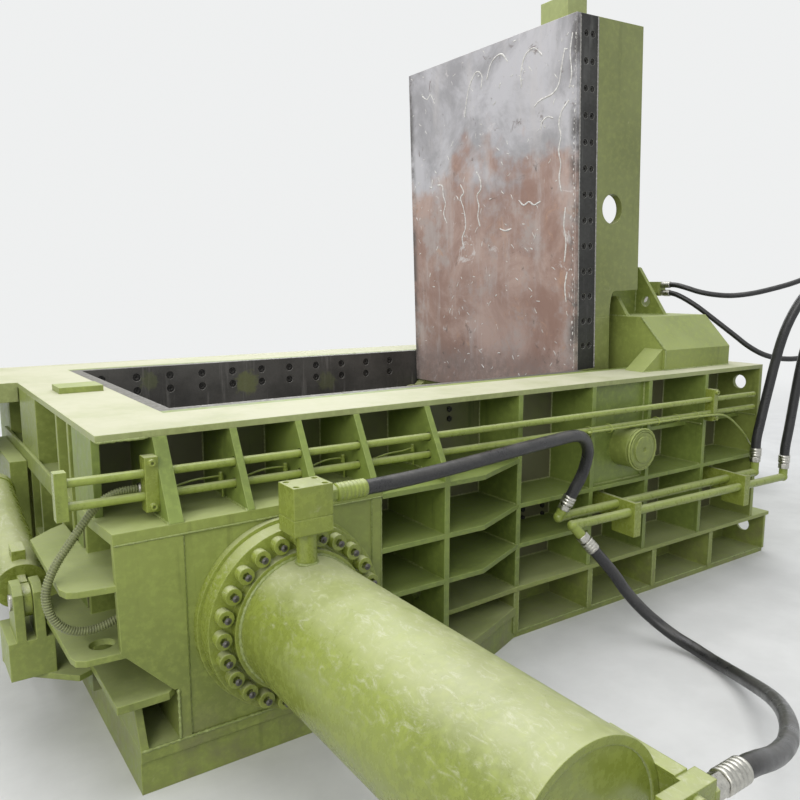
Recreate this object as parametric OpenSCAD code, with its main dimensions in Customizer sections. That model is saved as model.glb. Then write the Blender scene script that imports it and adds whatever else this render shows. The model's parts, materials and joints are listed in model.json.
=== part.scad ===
/* [Press box] */
// Length of the box along the main ram
box_l = 3624; // [3560:1:3760]
// Width of the box across its top flanges
box_w = 2240; // [2160:1:2360]
// Height of the top flange above the floor
box_h = 1140; // [1120:1:1170]
// Thickness of the top flange
flange_t = 22; // [16:1:30]
// Width of the top flange along each side
flange_w = 300; // [280:1:330]
// Width of the cross member over the left end
member_w = 352; // [340:1:380]
// Depth of the ribs outside the side wall plates
rib_d = 262; // [250:1:270]
// Thickness of the side wall plates
wall_t = 80; // [60:1:90]
// Thickness of ribs and shelves
rib_t = 25; // [16:1:30]
// Thickness of the bolted wear liners
liner_t = 50; // [30:1:55]
// Height of the top of the floor liner
floor_z = 206; // [200:1:210]

/* [Base] */
// Length of the base
base_l = 3724; // [3700:1:3900]
// Reach of the base beyond the flange, under the side cylinder
base_reach = 138; // [120:1:150]
// Height of the base plate under the side cylinder
step_z = 151; // [140:1:160]
// Height of the ledge along the foot of the wall
ledge_z = 250; // [240:1:270]

/* [Side cylinder] */
// Outer diameter of both big barrels
barrel_d = 440; // [400:1:460]
// Bore of both big barrels
bore_d = 360; // [300:1:370]
// Diameter of both big piston rods
rod_d = 250; // [200:1:260]
// Outer diameter of the mounting flanges
flange_d = 626; // [610:1:640]
// Number of bolts in each flange
bolt_count = 24; // [12:1:30]
// Bolt circle of the flanges
bolt_circle_d = 549; // [540:1:556]
// Head diameter of the flange bolts
bolt_head_d = 54; // [40:1:58]
// Length of the side barrel
side_barrel_l = 1255; // [1250:1:1400]
// Place of the side cylinder along the box
side_x = 560; // [540:1:580]
// Height of both big cylinders above the floor
axis_z = 503; // [495:1:515]

/* [Lid] */
// Length of the lid from its hinge to its free end
lid_l = 2108; // [2080:1:2109]
// Depth of the lid from its wear face to its back
lid_d = 503; // [480:1:510]
// Thickness of the lid wear plate
wear_t = 28; // [20:1:40]
// Angle by which the open lid leans over the box
lid_lean = 2.1; // [1.5:0.1:2.5]
// Diameter of the lid hinge pins
pin_d = 120; // [100:1:130]
// Rows of bolts in each side blade
blade_rows = 13; // [6:1:14]

/* [Tubes] */
// Diameter of the two upper tubes
upper_tube_d = 28; // [20:1:32]
// Diameter of the two lower tubes
lower_tube_d = 42; // [30:1:46]
// Diameter of the big hoses
hose_d = 52; // [40:1:60]

/* [Hidden] */

// Clearances: sliding steel, turning pins, curved faces of separate bodies
slide_gap = 2;
pin_gap = 0.08;
loose_gap = 0.3;
step = 0.5;

// Outlines of the box, seen from above
wall_in = rib_d + wall_t;
press_y = wall_in + liner_t;
under_flange = box_h - flange_t;
end_x = box_l - rib_t;
floor_plate_t = 35;
floor_liner_t = 20;
floor_plate_z = floor_z - floor_liner_t;
base_x = 50;
base_end = base_x + base_l;
base_plate_t = 25;
step_t = 38;
taper_x = [1400, 1756];
shelf_t = 20;
shelves = [447, 632, 840];
straight_ribs = [1758, 2225, 2635, 3102];
base_ribs = [1759, 2245, 2733, 3228];
mid_rib = 1250;
hole_d = 80;
base_hole_z = 140;
end_hole = [120, box_h - 110];

// Housing of the side ram
house_x = [176, 944];
house_side_t = 37;
house_top = [832, 867];
house_front_t = 38;
house_lip = 6;
house_in = [house_x[0] + house_side_t, house_x[1] - house_side_t];
ram_top = 798;
end_liner_x = [house_in[0] - liner_t, house_in[0]];
cover_z = [ram_top + 2, ram_top + 22];
side_face_t = 40;
side_ram_back = -60;
side_stroke = 1030;

// Lid hinge and lid outline, along the lid and away from its wear face
hinge = [2475, box_h - 335];
lid_face = 52;
seat_gap = 0.02;
plate_seam = 0.3;
lid_back = lid_face + lid_d;
lid_y = press_y + 10;
hub_d = 210;
boss_d = 194;
arm_t = 68;
arm_b = 326;
arm_end = 600;
lid_low = 110;
lid_side_t = 38;
lid_plate_t = 25;
lid_hole_d = 155;
lid_hole = [334, 1170];
lid_webs = [735, 1290, 1700, lid_l - lid_plate_t];
lug_a = 380;
lug_b = 350;
lug_pin_d = 70;
lug_gap = 60;
blade_b = [80, 205];
blade_low = 330;
blade_t = 40;
row_pitch = 130;

// Main ram
mouth_end = 2530;
ram_face_x = 2560;
main_face_t = 40;
main_ram_end = 3420;
main_ram_top = 845;
shoulder_z = 690;
shoulder_w = 86;
main_barrel_l = 1590;
flange_l = 65;
roof_z = [855, 880];
roof_x = 2620;
roof_wide_x = 2860;

// Lid cylinder, between the tower and the lug on the lid
tower_pin = [box_l + 226, 1500];
lid_barrel_d = 200;
lid_rod_d = 100;
lid_barrel_l = 980;
lid_barrel_back = 130;
lid_piston_at = 202;
lug_at = [
    hinge[0] + lug_b * cos(lid_lean) - lug_a * sin(lid_lean),
    hinge[1] + lug_b * sin(lid_lean) + lug_a * cos(lid_lean),
];
lid_cyl_l = norm(tower_pin - lug_at);
lid_cyl_tilt = atan2(tower_pin[1] - lug_at[1], tower_pin[0] - lug_at[0]);

// Gate and its cylinder
gate_x = [-85, -15];
gate_y = [1290, 1950];
gate_z = [190, 815];
window_y = [1310, box_w - press_y];
window_z = [floor_z, 800];
gate_pin = [330, 545];
gate_lug = [1880, 900];
gate_cyl_x = -180;
gate_barrel_d = 170;
gate_barrel_l = 830;
gate_rod_d = 80;
gate_pin_d = 56;
gate_cyl_l = norm(gate_lug - gate_pin);
gate_cyl_tilt = atan2(gate_lug[1] - gate_pin[1], gate_lug[0] - gate_pin[0]);

// Tubes: height at the left end and at the right end
tube_y = -30;
upper_x = [-112, 3500];
upper_z = [[1014, 984], [941, 913]];
lower_front = [[2000, 530], [3690, 501]];
lower_rear = [[2000, 552], [3520, 538]];
lower_y = [-130, -55];
bracket_x = [2355, 3260];
inlet_bend = [1955, lower_y[1], 552];
inlet_dir = [3, -2.5, 8];
return_bend = [1965, lower_y[0], 530];
return_dir = [5, -3.5, -7];

// Hose routes, chosen by hand
inlet_route = [
    [746, -311, 932], [790, -311, 932], [880, -309, 933], [1010, -305, 937], [1150, -298, 944], [1300, -288, 952],
    [1450, -275, 959], [1600, -258, 964], [1730, -240, 966], [1830, -222, 966], [1889, -211, 959],
    [1938, -197, 940], [1979, -180, 908], [2009, -162, 866], [2024, -142, 819], [2028, -123, 768],
    [2018, -109, 722], [2009, -100, 696], [1998, -90, 663], [1984, -79, 630],
];
return_route = [
    [2033, -178, 434], [2051, -190, 409], [2088, -216, 357], [2125, -243, 301], [2161, -279, 230], [2200, -335, 159],
    [2238, -400, 102], [2262, -480, 62], [2270, -570, 42], [2252, -670, 36], [2210, -770, 50], [2140, -870, 82],
    [2050, -970, 126], [1945, -1070, 178], [1830, -1165, 232], [1705, -1255, 285], [1570, -1340, 338],
    [1430, -1415, 392], [1290, -1480, 445], [1150, -1525, 492], [1030, -1550, 537], [978, -1555, 549],
    [938, -1555, 550],
];
riser_routes = [
    [[3520, -55, 656], [3521, -55, 728], [3534, -62, 820], [3548, -72, 930], [3560, -85, 1040], [3568, -100, 1150],
        [3572, -118, 1250], [3580, -138, 1340], [3596, -160, 1420], [3622, -182, 1490], [3655, -205, 1550]],
    [[3690, -130, 606], [3691, -131, 678], [3700, -138, 780], [3708, -146, 900], [3712, -156, 1020],
        [3714, -168, 1130], [3718, -182, 1230], [3728, -198, 1320], [3748, -214, 1400], [3776, -230, 1465]],
];
lid_routes = [
    [[3910, 873, 1585], [3910, 846, 1585], [3921, 804, 1581], [3950, 745, 1562], [3990, 690, 1540],
        [4050, 620, 1522], [4130, 540, 1515], [4220, 450, 1530], [4320, 370, 1560], [4420, 300, 1595],
        [4520, 235, 1640]],
    [[3910, 873, 1530], [3910, 846, 1530], [3925, 803, 1517], [3955, 750, 1485], [3990, 690, 1440],
        [4030, 630, 1385], [4075, 560, 1320], [4120, 490, 1255], [4165, 420, 1190], [4220, 350, 1140],
        [4290, 290, 1115], [4370, 230, 1110], [4460, 170, 1125]],
];
guard_route = [
    [150, 30, 950], [114, 30, 950], [78, 29, 949], [44, 26, 942], [12, 21, 927], [-16, 15, 905], [-42, 9, 877],
    [-68, 3, 847], [-94, -3, 816], [-120, -9, 785], [-142, -15, 754], [-159, -21, 722], [-169, -27, 690],
    [-170, -33, 657], [-162, -39, 623], [-144, -44, 592], [-116, -48, 568], [-82, -51, 556], [-46, -53, 554],
    [-10, -54, 561], [26, -55, 573], [60, -56, 582], [92, -56, 585], [119, -56, 585],
];
lube_route = [
    [2130, -52, 920], [2300, -52, 918], [2475, -52, 917], [2700, -52, 916], [2900, -53, 914], [3040, -60, 911],
    [3140, -61, 906], [3200, -57, 892], [3260, -50, 868], [3330, -42, 830], [3400, -32, 788], [3470, -18, 742],
    [3530, -2, 703], [3570, 8, 682], [3598, 11, 676],
];

// Everything is drawn from the near left corner of the top flange and then moved
// so that the origin lies under the middle of the base
origin_x = base_x + base_l / 2;
module place() translate([-origin_x, -box_w / 2, 0]) children();
module both_sides() {
    children();
    translate([0, box_w, 0]) mirror([0, 1, 0]) children();
}

// Block between two corners
module block(x, y, z) translate([x[0], y[0], z[0]]) cube([x[1] - x[0], y[1] - y[0], z[1] - z[0]]);
// Plate with its outline seen from above
module level_plate(z, outline) translate([0, 0, z[0]]) linear_extrude(z[1] - z[0]) polygon(outline);
// Plate across the box, with its outline in width and height
module cross_plate(x, outline) {
    translate([x[0], 0, 0]) rotate([90, 0, 90]) linear_extrude(x[1] - x[0]) polygon(outline);
}
// Plate along the box, with its outline in length and height
module long_plate(y, outline) {
    translate([0, y[1], 0]) rotate([90, 0, 0]) linear_extrude(y[1] - y[0]) polygon(outline);
}
module round_x(x, y, z, d) translate([x[0], y, z]) rotate([0, 90, 0]) cylinder(h = x[1] - x[0], d = d, $fn = 64);
module round_y(x, y, z, d) translate([x, y[1], z]) rotate([90, 0, 0]) cylinder(h = y[1] - y[0], d = d, $fn = 64);
module round_z(x, y, z, d) translate([x, y, z[0]]) cylinder(h = z[1] - z[0], d = d, $fn = 64);
function about(c, t) = [c - t / 2, c + t / 2];
// Straight tube from one point to another, both at the same width
module sloped_tube(a, b, y, d) {
    translate([a[0], y, a[1]])
        rotate([0, 90 - atan2(b[1] - a[1], b[0] - a[0]), 0])
            cylinder(h = norm(b - a), d = d, $fn = 32);
}
function height_at(a, b, x) = a[1] + (b[1] - a[1]) * (x - a[0]) / (b[0] - a[0]);

// Edge of the base in front of the flange, straight and then tapering in
function step_edge(inset) = [
    [base_x, inset - base_reach], [taper_x[0], inset - base_reach], [taper_x[1], inset],
];
// Edge of the shelves beside the housing
function shelf_outline(x0, x1) = [
    [x0, -base_reach], [1440, -base_reach], [straight_ribs[0], 0], [x1, 0], [x1, rib_d + step], [x0, rib_d + step],
];

module base_frame() color("olivedrab") place() {
    web_z = [base_plate_t - step, floor_plate_z - floor_plate_t + step];
    low_web = step_z - step_t + step;
    difference() {
        union() {
            level_plate([0, base_plate_t], concat(step_edge(10), [
                [base_end, 10], [base_end, box_w - 10], [base_x, box_w - 10],
            ]));
            block([base_x, base_end - 17], [rib_d, box_w - rib_d], [floor_plate_z - floor_plate_t, floor_plate_z]);
            level_plate([step_z - step_t, step_z], concat(step_edge(0), [[taper_x[1], rib_d], [base_x, rib_d]]));
            level_plate([base_plate_t, step_z - step_t + step], concat(step_edge(10), [
                [taper_x[1], 10 + rib_t], [taper_x[0] - 6, 10 + rib_t - base_reach], [base_x, 10 + rib_t - base_reach],
            ]));
            block([base_x, base_x + rib_t], [10 - base_reach, rib_d + 1], [web_z[0], low_web]);
            block([base_x, base_x + rib_t], [rib_d, box_w - 10], web_z);
            block([base_end - 17, base_end], [0, box_w], [base_plate_t - step, ledge_z - step]);
            for (x = concat([400, 925, mid_rib], base_ribs)) {
                block(about(x, rib_t), [10, rib_d + 1], [web_z[0], low_web]);
                block(about(x, rib_t), [rib_d, box_w - 10], web_z);
            }
            both_sides() block([base_x, base_end - 17], [rib_d, rib_d + rib_t], web_z);
            for (x = base_ribs) both_sides() block(about(x, rib_t), [0, rib_d], [base_plate_t - step, ledge_z - step]);
            for (x = [300, 780, mid_rib]) {
                translate([0, box_w, 0]) mirror([0, 1, 0])
                    block(about(x, rib_t), [0, rib_d], [base_plate_t - step, ledge_z - step]);
            }
            level_plate([ledge_z - shelf_t, ledge_z], [
                [mid_rib + rib_t / 2, -30], [taper_x[0], -30], [taper_x[1], -10], [base_end + 12, -10],
                [base_end + 12, rib_d], [mid_rib + rib_t / 2, rib_d],
            ]);
            translate([0, box_w, 0]) mirror([0, 1, 0])
                block([base_x, base_end + 12], [-10, rib_d], [ledge_z - shelf_t, ledge_z]);
        }
        both_sides() round_x([base_end - 30, base_end + 20], rib_d / 2, base_hole_z, hole_d);
    }
}

// Side wall plate with the step for the flange, from the floor plate up
module wall_plate(z0) {
    difference() {
        union() {
            block([0, end_x], [rib_d, flange_w + step], [z0, under_flange]);
            block([0, end_x], [flange_w, wall_in], [z0, under_flange]);
            block([member_w - liner_t, end_x], [flange_w, wall_in], [under_flange - step, box_h]);
        }
        round_y(hinge[0], [rib_d - 1, wall_in + 1], hinge[1], pin_d + 2 * loose_gap);
    }
}
// Ribs and shelves of the straight part of a side wall
module wall_grid(ribs, x0) {
    for (x = ribs) block(about(x, rib_t), [0, rib_d + step], [ledge_z, under_flange]);
    block([x0, end_x], [0, rib_d + step], [shelves[1] - shelf_t, shelves[1]]);
    block([straight_ribs[2], end_x], [110, rib_d + step], [830, 850]);
}
// Plate between two ribs that carries the hinge boss
module boss_bay() {
    difference() {
        block([straight_ribs[1], straight_ribs[2]], [32, 52], [shelves[1] - step, under_flange]);
        round_y(hinge[0], [0, 100], hinge[1], boss_d + 2 * loose_gap);
    }
}
function tube_hole_z(i, x) = height_at([upper_x[0], upper_z[i][0]], [upper_x[1], upper_z[i][1]], x);
// Rib that leans out from under the flange onto the housing
module leaning_rib(x, t) {
    difference() {
        cross_plate(about(x, t), [
            [0, under_flange], [-base_reach, house_top[1]], [rib_d + step, house_top[1]], [rib_d + step, under_flange],
        ]);
        for (i = [0, 1]) round_x([x - t, x + t], tube_y, tube_hole_z(i, x), upper_tube_d + 8);
    }
}
module near_wall() color("olivedrab") place() {
    difference() {
        union() {
            wall_plate(floor_plate_z);
            wall_grid(straight_ribs, straight_ribs[0]);
            boss_bay();
            level_plate([shelves[0] - shelf_t, shelves[0]], shelf_outline(house_x[1], straight_ribs[1]));
            level_plate([shelves[1] - shelf_t, shelves[1]], shelf_outline(house_x[1], straight_ribs[0] + 1));
            level_plate([shelves[2] - shelf_t, shelves[2]], shelf_outline(house_x[1] + house_lip, straight_ribs[0]));
            difference() {
                cross_plate(about(mid_rib, rib_t), [
                    [-base_reach, step_z], [rib_d, step_z], [rib_d, floor_plate_z], [rib_d + step, floor_plate_z],
                    [rib_d + step, under_flange], [0, under_flange],
                    [-base_reach, house_top[1]],
                ]);
                for (i = [0, 1]) {
                    round_x(about(mid_rib, 2 * rib_t), tube_y, tube_hole_z(i, mid_rib), upper_tube_d + 8);
                }
                round_x(about(mid_rib, 2 * rib_t), 60, 340, hole_d);
            }
            leaning_rib(195, 46);
            for (x = [442, 685, 925]) leaning_rib(x, rib_t);
            block([0, rib_t], [60, rib_d + step], [house_top[1], under_flange]);
        }
        block([house_in[0], house_in[1]], [0, wall_in + 1], [floor_plate_z - 1, ram_top + slide_gap]);
    }
}
module far_wall() color("olivedrab") place() translate([0, box_w, 0]) mirror([0, 1, 0]) {
    wall_plate(floor_plate_z);
    wall_grid(concat([rib_t / 2, 300, 780, mid_rib], straight_ribs), 0);
    boss_bay();
    for (z = [shelves[0], shelves[2]]) block([0, straight_ribs[0]], [0, rib_d + step], [z - shelf_t, z]);
}

// Left end: wall beside the side ram, and above it the box beam under the wide cross member
module left_end() color("olivedrab") place() {
    low_x = [end_liner_x[0] - 40, end_liner_x[0]];
    high_x = [member_w - liner_t - 40, member_w - liner_t];
    difference() {
        union() {
            block(low_x, [wall_in, box_w - wall_in], [floor_plate_z, cover_z[1] + step]);
            block([low_x[0], high_x[1]], [wall_in, box_w - wall_in], [cover_z[1], cover_z[1] + 40]);
            block(high_x, [wall_in, box_w - wall_in], [cover_z[1], under_flange]);
            for (y = [400, 600, 1060, window_y[0] - rib_t, 1860]) {
                block([0, low_x[0] + step], [y, y + rib_t], [floor_plate_z, under_flange]);
                block([low_x[0], high_x[0] + step], [y, y + rib_t], [cover_z[1] + 40 - step, under_flange]);
            }
            block([0, low_x[0] + step], [wall_in, box_w - wall_in], [480, 500]);
            block([0, low_x[0] + step], [wall_in, box_w - wall_in], [cover_z[1], cover_z[1] + shelf_t]);
            block([0, rib_t], [1060, 1480], [cover_z[1], under_flange]);
        }
        block([-1, member_w], window_y, [floor_plate_z - 1, window_z[1]]);
    }
}

module left_liner() color("dimgray") place() {
    block(end_liner_x, [press_y, window_y[0]], [floor_z, cover_z[1]]);
    block([end_liner_x[0], member_w], [press_y, box_w - press_y], cover_z);
    block([member_w - liner_t, member_w], [press_y, box_w - press_y], [cover_z[0], box_h]);
}

module right_end() color("olivedrab") place() {
    difference() {
        cross_plate([end_x, box_l], [
            [0, ledge_z], [rib_d, ledge_z], [rib_d, floor_plate_z], [box_w - rib_d, floor_plate_z],
            [box_w - rib_d, ledge_z], [box_w, ledge_z], [box_w, under_flange], [0, under_flange],
        ]);
        both_sides() round_x([end_x - 10, box_l + 10], end_hole[0], end_hole[1], hole_d);
        round_x([end_x - 10, box_l + 10], box_w / 2, axis_z, rod_d + 20);
        bolt_holes_x(end_x - 10, box_l + 10);
    }
}

module top_flange() color("darkkhaki") place() {
    extension_y = 1513;
    level_plate([under_flange, box_h], [
        [0, 0], [box_l, 0], [box_l, flange_w], [member_w - liner_t, flange_w],
        [member_w - liner_t, box_w - flange_w], [box_l, box_w - flange_w], [box_l, box_w],
        [-260, box_w], [-260, extension_y], [0, extension_y],
    ]);
    block([-260, -240], [extension_y, box_w], [1050, under_flange + step]);
    block([-260, 0], [extension_y, extension_y + 20], [1050, under_flange + step]);
    block([-260, 0], [box_w - 20, box_w], [1050, under_flange + step]);
}

module ram_roof() color("olivedrab") place() {
    level_plate(roof_z, [
        [roof_x, press_y + 88], [roof_wide_x, press_y + 88], [roof_wide_x, wall_in], [end_x, wall_in],
        [end_x, box_w - wall_in], [roof_wide_x, box_w - wall_in], [roof_wide_x, box_w - press_y - 88],
        [roof_x, box_w - press_y - 88],
    ]);
    for (y = [720, box_w / 2, box_w - 720]) {
        block([2960, end_x], about(y, rib_t), [roof_z[1] - step, roof_z[1] + 140]);
    }
}

// Housing of the side ram, with the wing plate and the small shelves at its left
module ram_house() color("olivedrab") place() {
    front_y = 6 - base_reach;
    difference() {
        union() {
            for (x = [house_x[0], house_in[1]]) {
                block([x, x + house_side_t], [-base_reach, rib_d], [step_z, house_top[0] + step]);
            }
            level_plate(house_top, [
                [2, -base_reach], [house_x[1] + house_lip, -base_reach], [house_x[1] + house_lip, rib_d], [-10, rib_d], [-14, 93],
            ]);
            block([house_in[0] - step, house_in[1] + step], [front_y, front_y + house_front_t],
                [step_z, house_top[0] + step]);
            long_plate([-base_reach, rib_t - base_reach], [
                [house_x[0] + step, house_top[0] + step], [2, house_top[0] + step], [9, 489], [164, 327],
                [house_x[0] + step, 327],
            ]);
            level_plate([689, 709], [
                [10, step - base_reach], [-100, -122], [-128, -106], [-140, -70], [-136, 459], [-53, 548], [0, 590],
                [0, rib_d], [house_x[0] + step, rib_d], [house_x[0] + step, step - base_reach],
            ]);
            difference() {
                level_plate([475, 495], [
                    [10, step - base_reach], [-90, -130], [-116, -112], [-124, -80], [-133, 404], [0, 500],
                    [0, rib_d], [house_x[0] + step, rib_d], [house_x[0] + step, step - base_reach],
                ]);
                round_z(-25, -43, [470, 500], 76);
            }
            block([-1, house_x[0] + step], [200, 200 + rib_t], [305, house_top[0] + step]);
            level_plate([305, 330], [[-16, -148], [143, -148], [house_x[0] + step, -base_reach + rib_t],
                [house_x[0] + step, rib_d], [-16, rib_d]]);
            cross_plate([base_x, base_x + rib_t], [
                [-base_reach, step_z], [-60, 306], [rib_d, 306], [rib_d, step_z],
            ]);
        }
        round_y(side_x, [-base_reach - 20, 0], axis_z, rod_d + 20);
        bolt_holes_y(-base_reach - 20, front_y + house_front_t + 10, 36);
    }
}

// Wear liners of the chamber with their countersunk bolts
module side_liner(window) {
    difference() {
        union() {
            block([member_w - liner_t, mouth_end], [wall_in, press_y], [floor_z, box_h]);
            block([mouth_end - step, end_x], [wall_in, press_y], [floor_z, roof_z[0]]);
            block([end_liner_x[0], member_w - liner_t + step], [wall_in, press_y], [floor_z, cover_z[1]]);
        }
        if (window) block([0, house_in[1]], [0, press_y + 1], [0, ram_top + slide_gap]);
        round_y(hinge[0], [wall_in - 1, press_y + 1], hinge[1], pin_d + 2 * loose_gap);
        for (x = liner_bolt_x) for (z = liner_bolt_z) round_y(x, [press_y - 12, press_y + 1], z, 44);
    }
}
liner_bolt_x = [for (x = [450 : 185 : 2300]) x];
liner_bolt_z = [box_h - 55, box_h - 130];
module near_liner() color("dimgray") place() side_liner(true);
module far_liner() color("dimgray") place() translate([0, box_w, 0]) mirror([0, 1, 0]) side_liner(false);
module liner_bolts() color("gray") place() both_sides() {
    for (x = liner_bolt_x) for (z = liner_bolt_z) {
        difference() {
            round_y(x, [press_y - 12, press_y - 3], z, 43.4);
            round_y(x, [press_y - 8, press_y], z, 18);
        }
    }
}
module floor_liner() color("dimgray") place() {
    level_plate([floor_plate_z, floor_z], [
        [0, window_y[0]], [end_liner_x[0], window_y[0]], [end_liner_x[0], wall_in], [house_in[0], wall_in],
        [house_in[0], 6 - base_reach + house_front_t], [house_in[1], 6 - base_reach + house_front_t],
        [house_in[1], wall_in], [end_x, wall_in], [end_x, box_w - wall_in],
        [end_liner_x[0], box_w - wall_in], [end_liner_x[0], window_y[1]], [0, window_y[1]],
    ]);
    block([house_in[0], house_in[1]], [6 - base_reach + house_front_t, rib_d], [step_z, floor_plate_z + step]);
}

module stop_pad() color("olivedrab") place() block([88, 265], [1005, 1160], [box_h, box_h + 25]);

// Brace box beside the open lid: on the flange, and down beside the wall to the roof over the main ram
module brace() {
    x = [2900, 3475];
    top_z = box_h + 276;
    slope_z = box_h + 106;
    back_y = 590;
    difference() {
        cross_plate(x, [
            [120, box_h], [120, slope_z], [285, top_z], [back_y, top_z], [back_y, roof_z[1]], [wall_in, roof_z[1]],
            [wall_in, box_h],
        ]);
        cross_plate([x[0] + rib_t, x[1] - rib_t], [
            [145, box_h - 1], [145, slope_z - 10], [295, top_z - rib_t], [back_y - rib_t, top_z - rib_t],
            [back_y - rib_t, roof_z[1] - 1], [wall_in + rib_t, roof_z[1] - 1], [wall_in + rib_t, box_h - 1],
        ]);
    }
    cross_plate([2905, 2930], [[385, top_z - step], [467, 1525], [615, 1525], [615, top_z - step]]);
    difference() {
        cross_plate([3225, 3250], [[380, top_z - step], [575, 1686], [615, 1690], [615, top_z - step]]);
        round_x([3220, 3260], 515, 1490, 60);
    }
    block([x[0], 3260], [back_y - step, 615], [box_h, 1525]);
    block([3020, 3260], [back_y - step, 615], [1524, 1690]);
    long_plate([135, 250], [[2740, box_h], [2893, box_h + 110], [x[0] + step, box_h + 110], [x[0] + step, box_h]]);
}
module near_brace() color("olivedrab") place() brace();
module far_brace() color("olivedrab") place() translate([0, box_w, 0]) mirror([0, 1, 0]) brace();
module lid_rest_bar() color("olivedrab") place() block([3025, 3150], [615, box_w - 615], [1560, 1690]);

// Tower behind the end plate that carries the lid cylinder
module rear_tower() color("olivedrab") place() {
    difference() {
        union() {
            for (y = [box_w / 2 - 95, box_w / 2 + 60]) {
                long_plate([y, y + 35], [
                    [box_l, 840], [box_l + 120, 840], [tower_pin[0] + 110, tower_pin[1] - 60],
                    [tower_pin[0] + 110, tower_pin[1] + 60], [tower_pin[0] + 50, tower_pin[1] + 110],
                    [tower_pin[0] - 40, tower_pin[1] + 80], [tower_pin[0] - 70, tower_pin[1] + 40],
                    [tower_pin[0] - 70, tower_pin[1] - 60],
                    [box_l, under_flange],
                ]);
            }
            block([box_l, box_l + 30], [box_w / 2 - 200, box_w / 2 + 200], [880, under_flange]);
            block([tower_pin[0] + 20, tower_pin[0] + 100], [box_w / 2 - 200, box_w / 2 - 95 + step],
                [tower_pin[1] + 10, tower_pin[1] + 105]);
        }
        round_y(tower_pin[0], [0, box_w], tower_pin[1], lug_pin_d + 2 * loose_gap);
    }
}

// Hinge bosses with the ring groove, their pins and keepers
module hinge_bosses() color("olivedrab") place() both_sides() {
    difference() {
        round_y(hinge[0], [-89, rib_d], hinge[1], boss_d);
        round_y(hinge[0], [-90, rib_d + 1], hinge[1], pin_d + 2 * loose_gap);
        difference() {
            round_y(hinge[0], [-78, -70], hinge[1], boss_d + 4);
            round_y(hinge[0], [-79, -69], hinge[1], boss_d - 8);
        }
    }
}
module hinge_pins() color("silver") place() both_sides() {
    round_y(hinge[0], [-80, lid_y + arm_t], hinge[1], pin_d);
}
module hinge_keepers() color("olivedrab") place() both_sides() {
    difference() {
        union() {
            round_y(hinge[0], [-95, -89], hinge[1], boss_d - 24);
            round_y(hinge[0], [-102, -94.5], hinge[1], pin_d + 8);
        }
        round_y(hinge[0], [-103, -97], hinge[1], 26);
    }
}

// Bolt pattern of the two big cylinders
module on_circle() for (i = [0 : bolt_count - 1]) rotate(i * 360 / bolt_count) translate([bolt_circle_d / 2, 0, 0]) children();
module bolt_holes_y(y0, y1, d) {
    translate([side_x, y1, axis_z]) rotate([90, 0, 0]) on_circle() cylinder(h = y1 - y0, d = d + 2 * loose_gap, $fn = 24);
}
module bolt_holes_x(x0, x1) {
    translate([x0, box_w / 2, axis_z]) rotate([0, 90, 0]) on_circle() cylinder(h = x1 - x0, d = 36 + 2 * loose_gap, $fn = 24);
}
// Socket-head bolt with its head above the seat
module socket_bolt(d, head_h, shank, shank_l) {
    difference() {
        union() {
            cylinder(h = head_h, d = d, $fn = 32);
            translate([0, 0, -shank_l]) cylinder(h = shank_l + step, d = shank, $fn = 24);
        }
        translate([0, 0, head_h * 0.45]) cylinder(h = head_h, d = d * 0.5, $fn = 6);
    }
}
ring_y = [-160, 6 - base_reach];
side_flange_y = ring_y[0] - flange_l;
side_end_y = side_flange_y - side_barrel_l;
module side_mount_ring() color("yellowgreen") place() {
    difference() {
        round_y(side_x, ring_y, axis_z, flange_d + 24);
        round_y(side_x, [ring_y[0] - 1, ring_y[1] + 1], axis_z, rod_d + 20);
        bolt_holes_y(ring_y[0] - 1, ring_y[1] + 1, 36);
    }
}
// Barrel with flange, neck ring, bore and recessed end face, along +Z from the seat of its flange
module cylinder_body(l) {
    difference() {
        union() {
            cylinder(h = flange_l, d = flange_d, $fn = 96);
            cylinder(h = flange_l + 35, d = barrel_d + 36, $fn = 96);
            cylinder(h = flange_l + l, d = barrel_d, $fn = 96);
        }
        translate([0, 0, 80]) cylinder(h = flange_l + l - 120, d = bore_d, $fn = 96);
        translate([0, 0, -1]) cylinder(h = 100, d = rod_d + 2 * loose_gap, $fn = 96);
        translate([0, 0, flange_l + l - 6]) cylinder(h = 7, d = barrel_d - 40, $fn = 96);
        translate([0, 0, -1]) on_circle() cylinder(h = flange_l + 2, d = 36 + 2 * loose_gap, $fn = 24);
    }
}
module side_cylinder() color("yellowgreen") place() {
    translate([side_x, ring_y[0], axis_z]) rotate([90, 0, 0]) cylinder_body(side_barrel_l);
}
module side_bolts() color("yellowgreen") place() {
    translate([side_x, side_flange_y, axis_z]) rotate([90, 0, 0]) on_circle() socket_bolt(bolt_head_d, 36, 36, flange_l + 50);
}
module main_cylinder() color("yellowgreen") place() {
    translate([box_l, box_w / 2, axis_z]) rotate([0, 90, 0]) cylinder_body(main_barrel_l);
}
module main_bolts() color("yellowgreen") place() {
    translate([box_l + flange_l, box_w / 2, axis_z]) rotate([0, 90, 0]) on_circle() socket_bolt(bolt_head_d, 36, 36, flange_l + rib_t);
}

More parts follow.
